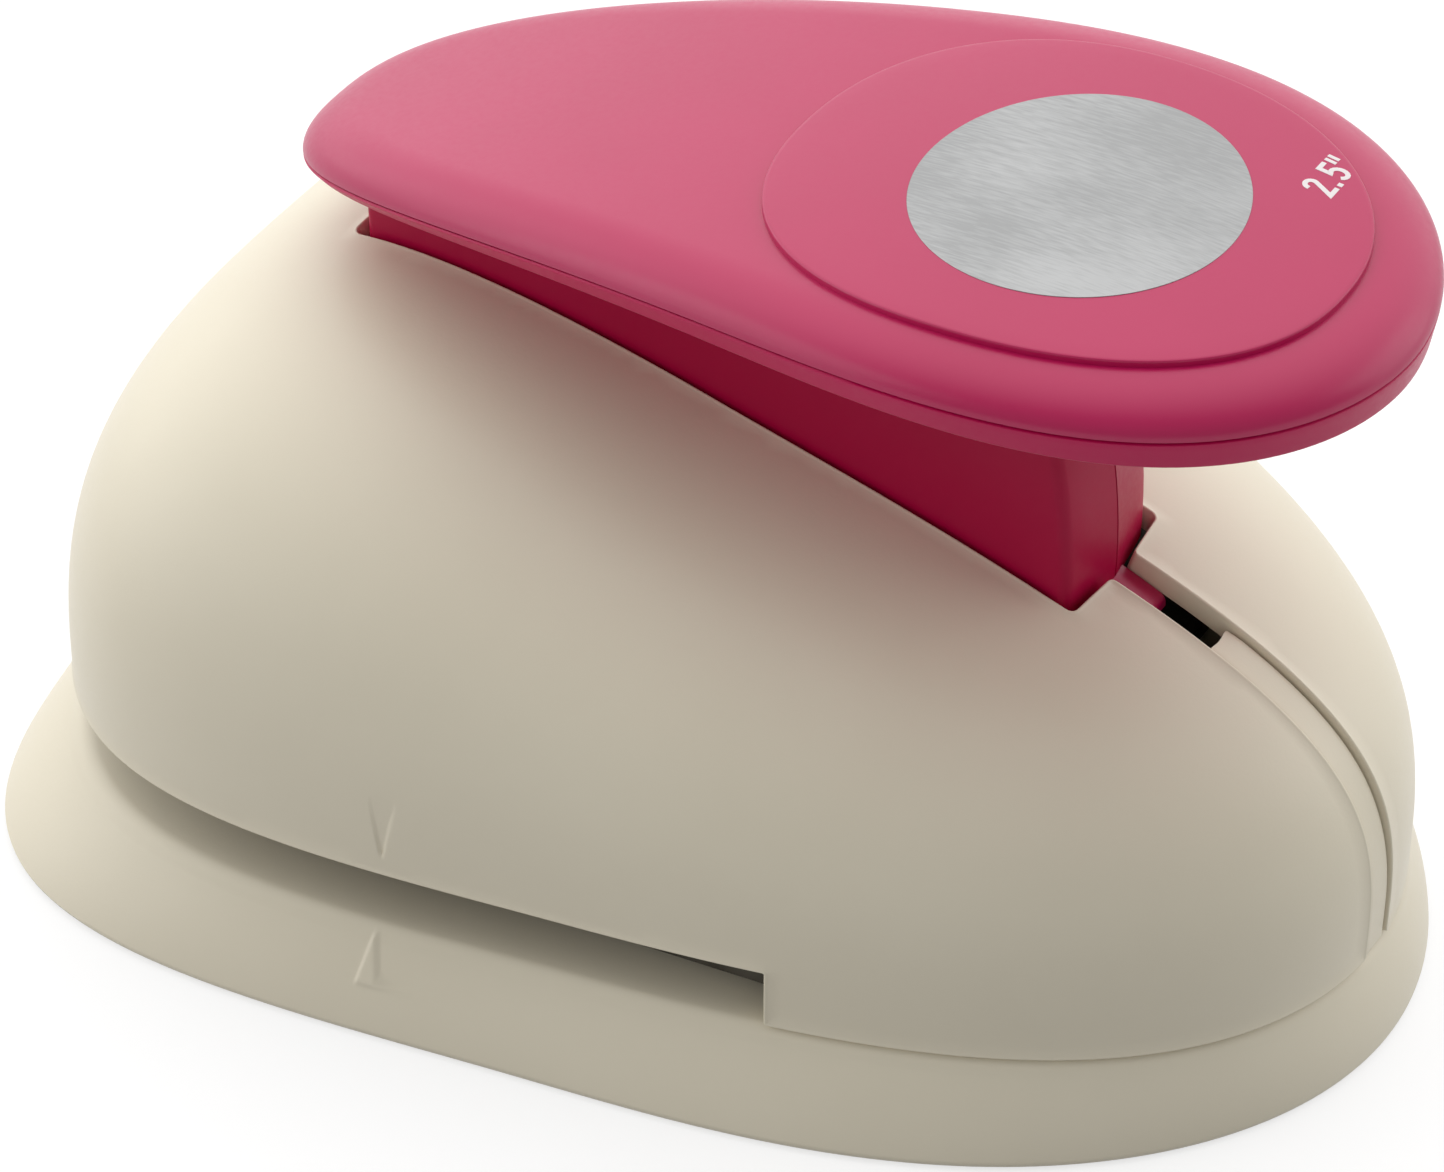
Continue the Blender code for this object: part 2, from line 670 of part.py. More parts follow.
def make_yoke():
    """Bracket on the guide plate whose two cheeks hold the lever's pin."""
    half = YOKE_FOOT_WIDTH / 2
    foot_top = YOKE_LOW + YOKE_FOOT_THICKNESS
    yoke = block("pivot_yoke", (YOKE_FRONT, -half, YOKE_LOW), (YOKE_REAR, half, foot_top))
    low = YOKE_LOW + YOKE_FOOT_THICKNESS / 2
    outline = [(YOKE_FRONT, low), (YOKE_REAR, low)]
    steps = 10
    for step in range(steps + 1):
        angle = math.pi * (step / steps - 1 / 8)
        outline.append((PIVOT_X + CHEEK_RADIUS * math.cos(angle), PIVOT_Z + CHEEK_RADIUS * math.sin(angle)))
    cheeks = [side_prism("cheek", outline, CHEEK_INNER, CHEEK_OUTER),
              side_prism("cheek", outline, -CHEEK_OUTER, -CHEEK_INNER)]
    join(yoke, cheeks)
    reach = CHEEK_OUTER + OVERRUN
    bore = cross_rod("bore", PIVOT_X, PIVOT_Z, -reach, reach, PIN_RADIUS + PIN_RUN, PIN_SEGMENTS)
    screw_bore = SCREW_SHANK_RADIUS + CLEARANCE
    cut(yoke, [bore] + holes(YOKE_SCREWS, screw_bore, YOKE_LOW - OVERRUN, foot_top + OVERRUN))
    dress(yoke, "dark_steel")


def make_pin():
    pin = cross_rod("pivot_pin", PIVOT_X, PIVOT_Z, -PIN_REACH, PIN_REACH, PIN_RADIUS, PIN_SEGMENTS)
    dress(pin, "steel")
    move_origin(pin, PIVOT)
    clip_low = CHEEK_OUTER + CLEARANCE
    clip_high = clip_low + CLIP_THICKNESS
    bore = PIN_RADIUS + PIN_RUN
    for name, side in (("pivot_clip_near", -1), ("pivot_clip_far", 1)):
        low, high = sorted((side * clip_low, side * clip_high))
        clip = cross_rod(name, PIVOT_X, PIVOT_Z, low, high, CLIP_RADIUS, PIN_SEGMENTS)
        cut(clip, [cross_rod("bore", PIVOT_X, PIVOT_Z, low - OVERRUN, high + OVERRUN, bore, PIN_SEGMENTS)])
        dress(clip, "spring_steel")
        move_origin(clip, PIVOT)


def spine_section(rise_turn):
    """T-shaped section of the strip, square to the housing's ridge line."""
    outer = housing_point(rise_turn, 0, 0)
    inner = housing_point(rise_turn, 0, HOUSING_WALL)
    step = math.radians(1)
    tangent = housing_point(rise_turn, 0, 0) - housing_point(rise_turn - step, 0, 0)
    inward = Vector((tangent.z, 0, -tangent.x)).normalized()
    strip = NARROW_SLOT_WIDTH / 2 - SPINE_SIDE_GAP
    flange = SPINE_FLANGE_WIDTH / 2
    top = outer + inward * SPINE_SINK
    under = inner + inward * SPINE_FLANGE_GAP
    back = under + inward * SPINE_FLANGE_THICKNESS
    places = ((strip, top), (strip, under), (flange, under), (flange, back))
    half = [Vector((point.x, y, point.z)) for y, point in places]
    return half + [Vector((point.x, -point.y, point.z)) for point in reversed(half)]


def make_spine():
    """Strip that closes the lower end of the ridge slot, with a flange behind the housing's wall."""
    low, high = 0.0, math.pi / 2
    for _ in range(40):
        middle = (low + high) / 2
        if housing_point(middle, 0, 0).x < SPINE_TOP_X:
            low = middle
        else:
            high = middle
    sections = []
    for step in range(SPINE_STEPS + 1):
        sections.append(spine_section(low + (math.pi / 2 - low) * step / SPINE_STEPS))
    loft("rear_spine", sections, material_name="cream_plastic")


def make_posts():
    top = PRESS_TOP + POST_STAND
    for number, (x, y) in enumerate(POSTS, 1):
        origin = Vector((x, y, GUIDE_TOP))
        low = GUIDE_LOW + CLEARANCE
        rod(f"guide_post_{number}", x, y, low, top, POST_RADIUS, SCREW_SEGMENTS, "steel", origin)


def make_springs():
    """Return springs round the posts, each one unbroken wire."""
    coil = POST_RADIUS + SPRING_RUN + SPRING_WIRE / 2
    low = GUIDE_TOP + CLEARANCE + SPRING_WIRE / 2
    high = PRESS_LOW - CLEARANCE - SPRING_WIRE / 2
    count = SPRING_TURNS * SPRING_TURN_POINTS
    points = []
    for step in range(count + 1):
        angle = 2 * math.pi * step / SPRING_TURN_POINTS
        height = low + (high - low) * step / count
        points.append(Vector((coil * math.cos(angle), coil * math.sin(angle), height)))
    pairs = zip(points, points[SPRING_TURN_POINTS:])
    gap = min((upper - lower).length for lower, upper in pairs) - SPRING_WIRE
    print(f"return springs: least gap between turns {gap * 1000:.2f} mm")
    for number, (x, y) in enumerate(POSTS, 1):
        curve = bpy.data.curves.new(f"return_spring_{number}", "CURVE")
        curve.dimensions = "3D"
        curve.bevel_depth = SPRING_WIRE / 2
        curve.bevel_resolution = 1
        curve.use_fill_caps = True
        spline = curve.splines.new("POLY")
        spline.points.add(len(points) - 1)
        for slot, point in zip(spline.points, points):
            slot.co = (*point, 1)
        curve.materials.append(material("spring_steel"))
        made = bpy.data.objects.new(curve.name, curve)
        made.location = (x, y, 0)
        bpy.context.scene.collection.objects.link(made)


def make_screws():
    base_boss_low = DECK_HEIGHT - DECK_THICKNESS - BASE_BOSS_DEPTH
    for number, place in enumerate(HOUSING_SCREWS, 1):
        screw(f"housing_screw_{number}", place, base_boss_low - CLEARANCE, HOUSING_FOOT + SCREW_BITE, False)
    for number, place in enumerate(DIE_SCREWS, 1):
        tip = DECK_HEIGHT - DIE_SCREW_REST - CLEARANCE
        screw(f"die_screw_{number}", place, SEAT_LOW - CLEARANCE, tip, False)
    for number, place in enumerate(FRAME_SCREWS, 1):
        screw(f"frame_screw_{number}", place, GUIDE_TOP + CLEARANCE, DIE_LOW + CLEARANCE, True)
    for number, place in enumerate(YOKE_SCREWS, 1):
        head = YOKE_LOW + YOKE_FOOT_THICKNESS + CLEARANCE
        screw(f"yoke_screw_{number}", place, head, GUIDE_LOW + CLEARANCE, True)


# Moving punch


def make_punch():
    bore = SCREW_SHANK_RADIUS + CLEARANCE
    punch = rod("punch_block", PUNCH_X, 0, PUNCH_LOW, PUNCH_TOP, CUT_RADIUS, ROUND_SEGMENTS)
    tip = PUNCH_LOW + PUNCH_THICKNESS / 4
    cut(punch, holes(PRESS_SCREWS, bore, tip - CLEARANCE, PUNCH_TOP + OVERRUN))
    dress(punch, "steel")
    move_origin(punch, PUNCH_ORIGIN)

    half = POST_SPREAD + EAR_RADIUS
    outline = [(PUNCH_X + x, y) for x, y in rounded_box(half, half, EAR_RADIUS, 4)]
    press = prism("press_plate", outline, PRESS_LOW, PRESS_TOP)
    boss_low = PUNCH_TOP + CLEARANCE
    boss_high = (PRESS_LOW + PRESS_TOP) / 2
    boss = rod("boss", PUNCH_X, 0, boss_low, boss_high, PRESS_BOSS_RADIUS, ROUND_SEGMENTS)
    ridge_low = (PUNCH_X - PRESS_RIDGE_LENGTH / 2, -PRESS_RIDGE_WIDTH / 2, boss_high)
    ridge = block("ridge", ridge_low, (PUNCH_X + PRESS_RIDGE_LENGTH / 2, PRESS_RIDGE_WIDTH / 2, RIDGE_TOP))
    join(press, [boss, ridge])
    notch_half = PIN_REACH + CHEEK_RUN
    high = PRESS_TOP + OVERRUN
    notch = block("notch", (PLATE_FRONT, -notch_half, PUNCH_TOP), (PRESS_NOTCH_X, notch_half, high))
    post_holes = holes(POSTS, POST_RADIUS + POST_RUN, PUNCH_LOW, high)
    cut(press, [notch] + post_holes + holes(PRESS_SCREWS, bore, PUNCH_LOW, high))
    dress(press, "white_nylon")
    move_origin(press, PUNCH_ORIGIN)
    for number, place in enumerate(PRESS_SCREWS, 1):
        screw(f"press_screw_{number}", place, PRESS_TOP + CLEARANCE, tip, True, PUNCH_ORIGIN)


# Lever


def web_outline(across):
    """Side view of the web at a place across it: the rear end has a slight ridge in the middle."""
    share = abs(across) / WEB_HALF
    reach = WEB_REACH - WEB_REAR_RIDGE * share
    front = PIVOT_X - WEB_BOSS_RADIUS + WEB_END_ROUND * share * share
    nose_z = RIDGE_TOP + CLEARANCE + NOSE_RADIUS
    points = [(front, PIVOT_Z)]
    for angle in (-150, -120, -90):
        turn = math.radians(angle)
        x = PIVOT_X + (PIVOT_X - front) * math.cos(turn)
        points.append((x, PIVOT_Z + WEB_BOSS_RADIUS * math.sin(turn)))
    for angle in (-130, -110, -90, -70, -50):
        turn = math.radians(angle)
        points.append((PUNCH_X + NOSE_RADIUS * math.cos(turn), nose_z + NOSE_RADIUS * math.sin(turn)))
    press_edge = PUNCH_X + POST_SPREAD + EAR_RADIUS
    swing_share = (RIDGE_TOP - GUIDE_TOP) / WEB_REACH
    relief = RIDGE_TOP + WEB_RELIEF + (press_edge - PUNCH_X) * swing_share
    points.append((press_edge, relief))
    rear_low = PIVOT_Z - WEB_REAR_DEPTH
    points.append((press_edge + WEB_STEP_RUN, rear_low))
    top_x = PIVOT_X + math.sqrt(reach ** 2 - (SEAM_HEIGHT - PIVOT_Z) ** 2)
    top_turn = math.atan2(seam_height(top_x) - LIP_DEPTH / 2 - PIVOT_Z, top_x - PIVOT_X)
    low_turn = -math.asin(WEB_REAR_DEPTH / reach)
    steps = 5
    for step in range(steps + 1):
        turn = low_turn + (top_turn - low_turn) * step / steps
        points.append((PIVOT_X + reach * math.cos(turn), PIVOT_Z + reach * math.sin(turn)))
    for step in range(steps + 1):
        x = top_x + (front - top_x) * (step + 1) / (steps + 1)
        points.append((x, seam_height(x) - LIP_DEPTH / 2))
    return points


def make_web():
    stations = [WEB_HALF * share for share in WEB_STATION_SHARES]
    return loft("web", [[Vector((x, y, z)) for x, z in web_outline(y)] for y in stations])


def make_toe():
    start = PIVOT_X + WEB_REACH - TOE_ROOT
    end = PIVOT_X + WEB_REACH + TOE_LENGTH
    start_top = housing_height(start, 0, 0) - TOE_SINK
    end_top = housing_height(end, 0, 0) - TOE_SINK
    low = end_top - TOE_HEIGHT
    outline = ((start, low), (end, low), (end, end_top), (start, start_top))
    return side_prism("toe", outline, -TOE_WIDTH / 2, TOE_WIDTH / 2)


def make_lugs():
    """Lugs under the housing's wall that stop the lever as it rises."""
    end = PIVOT_X + WEB_REACH - LUG_SETBACK
    half = SLOT_HALF + LUG_OVERHANG
    top = housing_height(end, half, HOUSING_WALL) - CLEARANCE
    return block("lugs", (end - LUG_LENGTH, -half, top - LUG_HEIGHT), (end, half, top))


def make_lever():
    top_rings = [lever_ring(share, 0, -CLEARANCE) for share in SHEET_RING_SHARES]
    low_rings = [lever_ring(share, LIP_INSET, -LIP_DEPTH) for share in reversed(SHEET_RING_SHARES)]
    middle = seam_height(LEVER_X)
    top = Vector((LEVER_X, 0, middle - CLEARANCE))
    bottom = Vector((LEVER_X, 0, middle - LIP_DEPTH))
    body = loft("lever_body", top_rings + low_rings, first=top, last=bottom)
    join(body, [make_web(), make_toe(), make_lugs()])
    bore_radius = PIN_RADIUS + PIN_RUN
    cut(body, [cross_rod("bore", PIVOT_X, PIVOT_Z, -WEB_WIDTH, WEB_WIDTH, bore_radius, PIN_SEGMENTS)])
    dress(body, "magenta_plastic")
    move_origin(body, PIVOT)


def make_cap():
    rings = [lever_ring(share, CAP_ROUND, CAP_RISE) for share in SHEET_RING_SHARES]
    for step in range(1, CAP_ROUND_STEPS + 1):
        turn = math.pi / 2 * step / CAP_ROUND_STEPS
        rings.append(lever_ring(1, CAP_ROUND * (1 - math.sin(turn)), CAP_RISE * math.cos(turn)))
    inner_round = CAP_ROUND - CAP_WALL
    rings.append(lever_ring(1, CAP_WALL, 0))
    rings.append(lever_ring(1, CAP_WALL + inner_round / 3, (CAP_RISE - CAP_WALL) * 2 / 3))
    for share in reversed(SHEET_RING_SHARES):
        rings.append(lever_ring(share, CAP_ROUND, CAP_RISE - CAP_WALL))
    middle = seam_height(LEVER_X)
    crown = Vector((LEVER_X, 0, middle + CAP_RISE))
    ceiling = Vector((LEVER_X, 0, middle + CAP_RISE - CAP_WALL))
    cap = loft("lever_cap", rings, first=crown, last=ceiling)
    seat = [pad_ring(share, PAD_SIDE_GAP, cap_height, -PAD_SEAT) for share in SHEET_RING_SHARES]
    seat.append(pad_ring(1, PAD_SIDE_GAP, cap_height, OVERRUN))
    floor = Vector((PAD_X, 0, cap_height(PAD_X, 0) - PAD_SEAT))
    cut(cap, [loft("pad_seat", seat, first=floor, last=floor + Vector((0, 0, 2 * OVERRUN)))])
    dress(cap, "magenta_plastic")
    move_origin(cap, PIVOT)


def disc_cylinder(name, radius, low, high):
    """Short cylinder square to the pad's surface at its middle, between two heights above it."""
    rise = pad_height(DISC_X + radius, 0) - pad_height(DISC_X - radius, 0)
    lean = Matrix.Rotation(-math.atan2(rise, 2 * radius), 4, "Y")
    place = Matrix.Translation((DISC_X, 0, pad_height(DISC_X, 0))) @ lean
    rings = [[place @ point for point in circle(0, 0, z, radius, ROUND_SEGMENTS)] for z in (low, high)]
    return loft(name, rings)


def make_pad():
    floor_rise = CLEARANCE - PAD_SEAT
    rings = [pad_ring(share, 0, pad_height, 0) for share in SHEET_RING_SHARES]
    rings += [pad_ring(share, 0, cap_height, floor_rise) for share in reversed(SHEET_RING_SHARES)]
    crown = Vector((PAD_X, 0, pad_height(PAD_X, 0)))
    floor = Vector((PAD_X, 0, cap_height(PAD_X, 0) + floor_rise))
    pad = loft("thumb_pad", rings, first=crown, last=floor)
    radius = DISC_DIAMETER / 2
    cut(pad, [disc_cylinder("seat", radius + DISC_SIDE_GAP, -DISC_THICKNESS, OVERRUN)])
    dress(pad, "magenta_plastic")
    move_origin(pad, PIVOT)
    disc = disc_cylinder("metal_disc", radius, CLEARANCE - DISC_THICKNESS, CLEARANCE)
    dress(disc, "brushed_metal")
    move_origin(disc, PIVOT)


def main():
    clear_scene()
    make_base()
    make_housing()
    make_spine()
    make_plates()
    make_yoke()
    make_pin()
    make_posts()
    make_springs()
    make_screws()
    make_punch()
    make_lever()
    make_cap()
    make_pad()


main()
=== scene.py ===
"""Looks of the lever circle punch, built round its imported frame.

Metres, in the CAD's own frame. The outer shells and the springs are drawn again with fine surfaces and
soft edges. The other inner pieces keep their CAD shape and get better materials.
"""

import json
import math

import bmesh
import bpy
import numpy as np
from mathutils import Matrix, Vector
from mathutils.geometry import delaunay_2d_cdt
from mathutils.kdtree import KDTree


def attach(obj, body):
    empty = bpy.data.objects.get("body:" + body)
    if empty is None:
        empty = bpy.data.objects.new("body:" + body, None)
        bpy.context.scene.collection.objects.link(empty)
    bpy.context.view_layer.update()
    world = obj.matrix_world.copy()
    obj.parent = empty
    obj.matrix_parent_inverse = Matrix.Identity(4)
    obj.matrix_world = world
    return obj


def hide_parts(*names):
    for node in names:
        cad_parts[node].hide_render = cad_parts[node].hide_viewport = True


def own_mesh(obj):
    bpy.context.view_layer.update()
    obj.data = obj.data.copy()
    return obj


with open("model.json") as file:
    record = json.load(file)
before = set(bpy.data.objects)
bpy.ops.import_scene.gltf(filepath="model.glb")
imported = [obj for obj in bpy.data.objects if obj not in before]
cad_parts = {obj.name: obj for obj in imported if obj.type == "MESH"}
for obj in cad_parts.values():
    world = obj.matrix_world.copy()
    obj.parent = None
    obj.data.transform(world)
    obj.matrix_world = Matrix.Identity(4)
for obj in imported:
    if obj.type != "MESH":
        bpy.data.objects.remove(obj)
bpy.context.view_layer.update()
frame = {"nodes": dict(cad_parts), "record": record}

MM = 0.001

# Clearances and overruns, as in the CAD
CLEARANCE = 0.0003
OVERRUN = 0.004

# Housing, as in the CAD
HOUSING_LENGTH = 0.1417
HOUSING_WIDTH = 0.1088
HOUSING_RISE = 0.0446
HOUSING_TILT = -0.0114
HOUSING_BOW = 0.0059
HOUSING_WALL = 0.0024
HOUSING_SHARES = (-0.29, 2.31, 0.21, -0.12)
CROWN_SHARES = (2.25, 3.5)

# Base, as in the CAD
FRONT_FLARE = 0.0053
REAR_FLARE = 0.0030
SIDE_FLARE = 0.0048
DECK = 0.0113
DECK_THICKNESS = 0.0025
DECK_EDGE = 0.0006
BASE_WALL = 0.0032
BASE_EDGE = 0.0010
SKIRT_BULGE = 0.0005
BASE_SHARES = (-0.27, 2.55, 0.16, -0.21)
BOSS_RADIUS = 0.0052
BOSS_LOW = 0.0043
HOUSING_SCREWS = ((0.0600, 0.0105), (0.0600, -0.0105), (0.0475, 0.0195), (0.0475, -0.0195))
HOUSING_X = (FRONT_FLARE - REAR_FLARE) / 2
FOOT = DECK + CLEARANCE
BASE_LENGTH = HOUSING_LENGTH + FRONT_FLARE + REAR_FLARE
BASE_WIDTH = HOUSING_WIDTH + 2 * SIDE_FLARE

# Paper slot, die plate and press plate, as in the CAD
SLOT_HEIGHT = 0.0078
SLOT_TOP = DECK + SLOT_HEIGHT
THROAT_END = 0.02545
PUNCH_X = -0.0145
CUT_RADIUS = 0.03175
DROP_MARGIN = 0.0015
SEAT_LOW = 0.0033
SEAT_TOP = 0.0065
SEAT_INSET = 0.0027
PLATE_FRONT_MARGIN = 0.0078
PLATE_HALF_WIDTH = 0.046
PLATE_THROAT_HALF = 0.0394
PLATE_REAR = 0.03495
PLATE_REAR_HALF = 0.033
PLATE_CORNER = 0.012
GUIDE_TOP = 0.0168
PRESS_LOW = 0.0313
RIDGE_TOP = 0.0363
EAR_RADIUS = 0.005
POST_OFFSET = 0.0067
POST_SPREAD = (CUT_RADIUS + POST_OFFSET) * math.sqrt(0.5)

# Return springs: posts, wire and run as in the CAD, with closed ends
POST_RADIUS = 0.0020
SPRING_RUN = 0.0006
SPRING_WIRE = 0.0009
SPRING_END = 0.0003
SPRING_TURNS = 6.5
SPRING_CLOSED_TURNS = 0.75
SPRING_CLOSED_RISE = 0.00095
SPRING_TURN_POINTS = 28

# Lever, as in the CAD
PIVOT_X = -0.0415
PIVOT_Z = 0.049
LEVER_LENGTH = 0.1240
LEVER_WIDTH = 0.0591
LEVER_X = 0.0066
LEVER_SHARES = (0.33, 2.21, 0.13, -0.12)
SEAM = 0.0844
SEAM_SLOPE = 0.173
SEAM_ARCH = 0.0075
CAP_RISE = 0.0035
CAP_ROUND = 0.0068
WEB_HALF = 0.0080
WEB_REACH = 0.0812
WEB_BOSS = 0.0050
WEB_REAR_DEPTH = 0.003
WEB_RELIEF = 0.0018
WEB_STEP_RUN = 0.0033
NOSE_RADIUS = 0.005
TOE_ROOT = 0.0040
PAD_CROWN = 0.0004
DISC_X = 0.0332
DISC_RADIUS = 0.01615

# Lever, where it differs from the CAD or is finer
LIP_DEPTH = 0.00233
LIP_GROWTH = 0.0216
LIP_INSET = 0.0004
LIP_ROUND = 0.0003
WEB_RIDGE = 0.0012
WEB_FRONT = 0.0043
WEB_EDGE = 0.0012
WEB_LINE_HALF = 0.00012
WEB_LINE_DEPTH = 0.00030
WEB_COLUMNS = (0.0020, 0.0045)
TOE_HALF = 0.00205
TOE_LENGTH = 0.0047
TOE_SINK = 0.0020
TOE_FALL = 0.06
TOE_ROUND = 0.0007
TOE_EDGE = 0.0004
PAD_LENGTH = 0.0586
PAD_WIDTH = 0.0474
PAD_X = 0.0320
PAD_SHARES = (-0.045, 2.20, 0.0, 0.0)
PAD_RISE = 0.00070
PAD_EDGE = 0.00022
PAD_SEAT = 0.0008
DISC_PROUD = 0.00006
DISC_SINK = 0.0003
DISC_POINTS = 160

# Groove between the lever's shells: heights about the seam, and insets from the lever's outline
CAP_EDGE = 0.00010
CAP_LOW = -0.00002
CAP_INSETS = (0.0002, 0.0006)
CAP_SHEET_INSET = 0.0008
LOWER_TOP = -0.00020
LOWER_SHEET_INSET = 0.0006
LOWER_INSETS = (0.00045, 0.0002)
LOWER_EDGE = -0.00032
LOWER_EDGE_INSET = 0.00003
LOWER_EDGE_FALL = 0.00045

# Slot in the housing's ridge, and the strip that closes its lower end
SLOT_GAP = 0.0006
SLOT_HALF = 0.0085
SLOT_FRONT = PIVOT_X - WEB_BOSS - SLOT_GAP
SLOT_SHOULDER = PIVOT_X + WEB_REACH + SLOT_GAP
SHOULDER_LEAN = 0.0007
NARROW_HALF = 0.00215
NARROW_END = 0.0585
SPINE_TOP_X = 0.0520
STRIP_HALF = 0.00183
STRIP_ROUND = 0.00025
STRIP_FLAT_INSET = 0.0006
STRIP_COLUMNS = 11
STRIP_ROWS = 60
STRIP_HIGH_SINK = 0.00060
STRIP_LOW_SINK = 0.00022
STRIP_SINK_START = 0.45
STRIP_SINK_RUN = 0.4
STRIP_THICKNESS = 0.0030
STRIP_UNDERCUT = 0.0015
STRIP_END_LAP = 0.0004
STRIP_END_HOLLOW = 0.0003
STRIP_END_CORNER = 0.0004
STRIP_END_FALL = 0.0002
STRIP_END_ROWS = 1.5

# Steps of a search by halving, and of a search over the housing's surface with its longest step
HALVINGS = 44
SETTLE_ROUNDS = 6
SETTLE_STEP = 0.002

# Steps of a rounded corner
CORNER_STEPS = 5


# Shapes


def power(value, squareness):
    return np.sign(value) * np.abs(value) ** (2 / squareness)


def outline(length, width, shares, turn):
    """Points of the egg-like outline about its middle, at angles of the full turn."""
    lean, squareness, belly, change = shares
    local = squareness * (1 + change * np.cos(turn))
    along = power(np.cos(turn), local)
    across = power(np.sin(turn), local)
    swell = 1 + lean * along + belly * (along * along - 0.5)
    return length / 2 * along, width / 2 * across * swell


def bisect(shape, most, holds):
    """Greatest values from zero to the most for which a test holds, found by halving."""
    low = np.zeros(shape)
    high = np.full(shape, most)
    for _ in range(HALVINGS):
        middle = (low + high) / 2
        passed = holds(middle)
        low = np.where(passed, middle, low)
        high = np.where(passed, high, middle)
    return low


def share_inside(length, width, shares, x, y):
    """Share of the outline, scaled about its middle, that passes through each point, and its turn."""
    x, y = np.broadcast_arrays(np.asarray(x, float), np.asarray(y, float))
    wanted = np.arctan2(np.abs(y), x)

    def under(turn):
        ex, ey = outline(length, width, shares, turn)
        return np.arctan2(ey, ex) < wanted

    turn = bisect(x.shape, math.pi, under)
    ex, ey = outline(length, width, shares, turn)
    return np.hypot(x, y) / np.hypot(ex, ey), np.where(y < 0, -turn, turn)


def housing(rise, turn):
    """Points of the housing, from its crown at zero to its foot at a quarter turn."""
    out = np.sin(rise) ** (2 / CROWN_SHARES[0])
    up = np.maximum(np.cos(rise), 0.0) ** (2 / CROWN_SHARES[1])
    x, y = outline(HOUSING_LENGTH, HOUSING_WIDTH, HOUSING_SHARES, turn)
    share = out * x * 2 / HOUSING_LENGTH
    height = HOUSING_RISE + HOUSING_TILT * share + HOUSING_BOW * share * share
    return np.stack([HOUSING_X + out * x, out * y, FOOT + height * up], -1)


# The housing is meshed in a plane of its own: distance down a meridian, and the turn
_RISE = np.linspace(0, math.pi / 2, 4001)
_LINE = housing(_RISE, np.full(_RISE.shape, math.pi / 2))
_ARC = np.concatenate([[0.0], np.cumsum(np.linalg.norm(np.diff(_LINE, axis=0), axis=1))])


def to_plane(rise, turn):
    arc = np.interp(rise, _RISE, _ARC)
    return np.stack([arc * np.cos(turn), arc * np.sin(turn)], -1)


def from_plane(points):
    arc = np.hypot(points[:, 0], points[:, 1])
    turn = np.arctan2(points[:, 1], points[:, 0])
    return housing(np.interp(arc, _ARC, _RISE), turn)


def plane_slopes(points):
    step = 2e-5
    first = (from_plane(points + [step, 0]) - from_plane(points - [step, 0])) / (2 * step)
    second = (from_plane(points + [0, step]) - from_plane(points - [0, step])) / (2 * step)
    return first, second


def plane_normals(points):
    first, second = plane_slopes(points)
    normal = np.cross(first, second)
    return normal / np.linalg.norm(normal, axis=1)[:, None]


def settle(points, wanted):
    """Moves plane points until the housing's surface there is nearest to the wanted places."""
    points = points.copy()
    for _ in range(SETTLE_ROUNDS):
        first, second = plane_slopes(points)
        miss = wanted - from_plane(points)
        aa, bb, ab = (first * first).sum(1), (second * second).sum(1), (first * second).sum(1)
        am, bm = (first * miss).sum(1), (second * miss).sum(1)
        det = aa * bb - ab * ab
        step = np.stack([(bb * am - ab * bm) / det, (aa * bm - ab * am) / det], -1)
        size = np.linalg.norm(step, axis=1)[:, None]
        points += step * np.minimum(1, SETTLE_STEP / np.maximum(size, 1e-9))
    return points


def housing_from_plan(x, y):
    """Plane points of the housing's surface over places in plan."""
    x = np.asarray(x) - HOUSING_X
    share, turn = share_inside(HOUSING_LENGTH, HOUSING_WIDTH, HOUSING_SHARES, x, y)
    rise = np.arcsin(np.minimum(share, 1.0) ** (CROWN_SHARES[0] / 2))
    return to_plane(rise, turn)


def rise_at(z, turn):
    """Angle down from the crown at which the housing has a height."""
    return bisect(turn.shape, math.pi / 2, lambda rise: housing(rise, turn)[..., 2] > z)


def housing_from_side(x, z, axis=0):
    """Plane points on the +Y side at a height, and at a place along X (or, at the rear, along Y)."""
    x, z = np.broadcast_arrays(np.asarray(x, float), np.asarray(z, float))

    def short_of(turn):
        value = housing(rise_at(z, turn), turn)[..., axis]
        return value > x if axis == 0 else value < x

    turn = bisect(x.shape, math.pi if axis == 0 else math.pi / 2, short_of)
    return to_plane(rise_at(z, turn), turn)


def round_corners(points, radii):
    """Open polyline with arcs in place of its inner corners."""
    result = [points[0]]
    for before, here, after, radius in zip(points, points[1:], points[2:], radii):
        before, here, after = map(np.array, (before, here, after))
        if not radius:
            result.append(tuple(here))
            continue
        first = (before - here) / np.linalg.norm(before - here)
        second = (after - here) / np.linalg.norm(after - here)
        half = math.acos(float(np.dot(first, second))) / 2
        reach = radius / math.tan(half)
        centre = here + (first + second) / np.linalg.norm(first + second) * radius / math.sin(half)
        start = here + first * reach - centre
        end = here + second * reach - centre
        turn = math.atan2(start[0] * end[1] - start[1] * end[0], float(np.dot(start, end)))
        for step in range(CORNER_STEPS + 1):
            angle = turn * step / CORNER_STEPS
            c, s = math.cos(angle), math.sin(angle)
            result.append(tuple(centre + (start[0] * c - start[1] * s, start[0] * s + start[1] * c)))
    result.append(points[-1])
    return result


def resample(points, spacing):
    """Adds points to the long stretches of a polyline."""
    result = [points[0]]
    for a, b in zip(points, points[1:]):
        a, b = np.array(a), np.array(b)
        count = max(1, math.ceil(np.linalg.norm(b - a) / spacing))
        result += [tuple(a + (b - a) * k / count) for k in range(1, count + 1)]
    return result


def quarter_turns(steps):
    """Angles of a quarter turn in even steps, without its start."""
    return [math.pi / 2 * step / steps for step in range(1, steps + 1)]


def full_turn(steps):
    """Angles of a full turn in even steps, without its end."""
    return np.linspace(0, 2 * math.pi, steps + 1)[:-1]


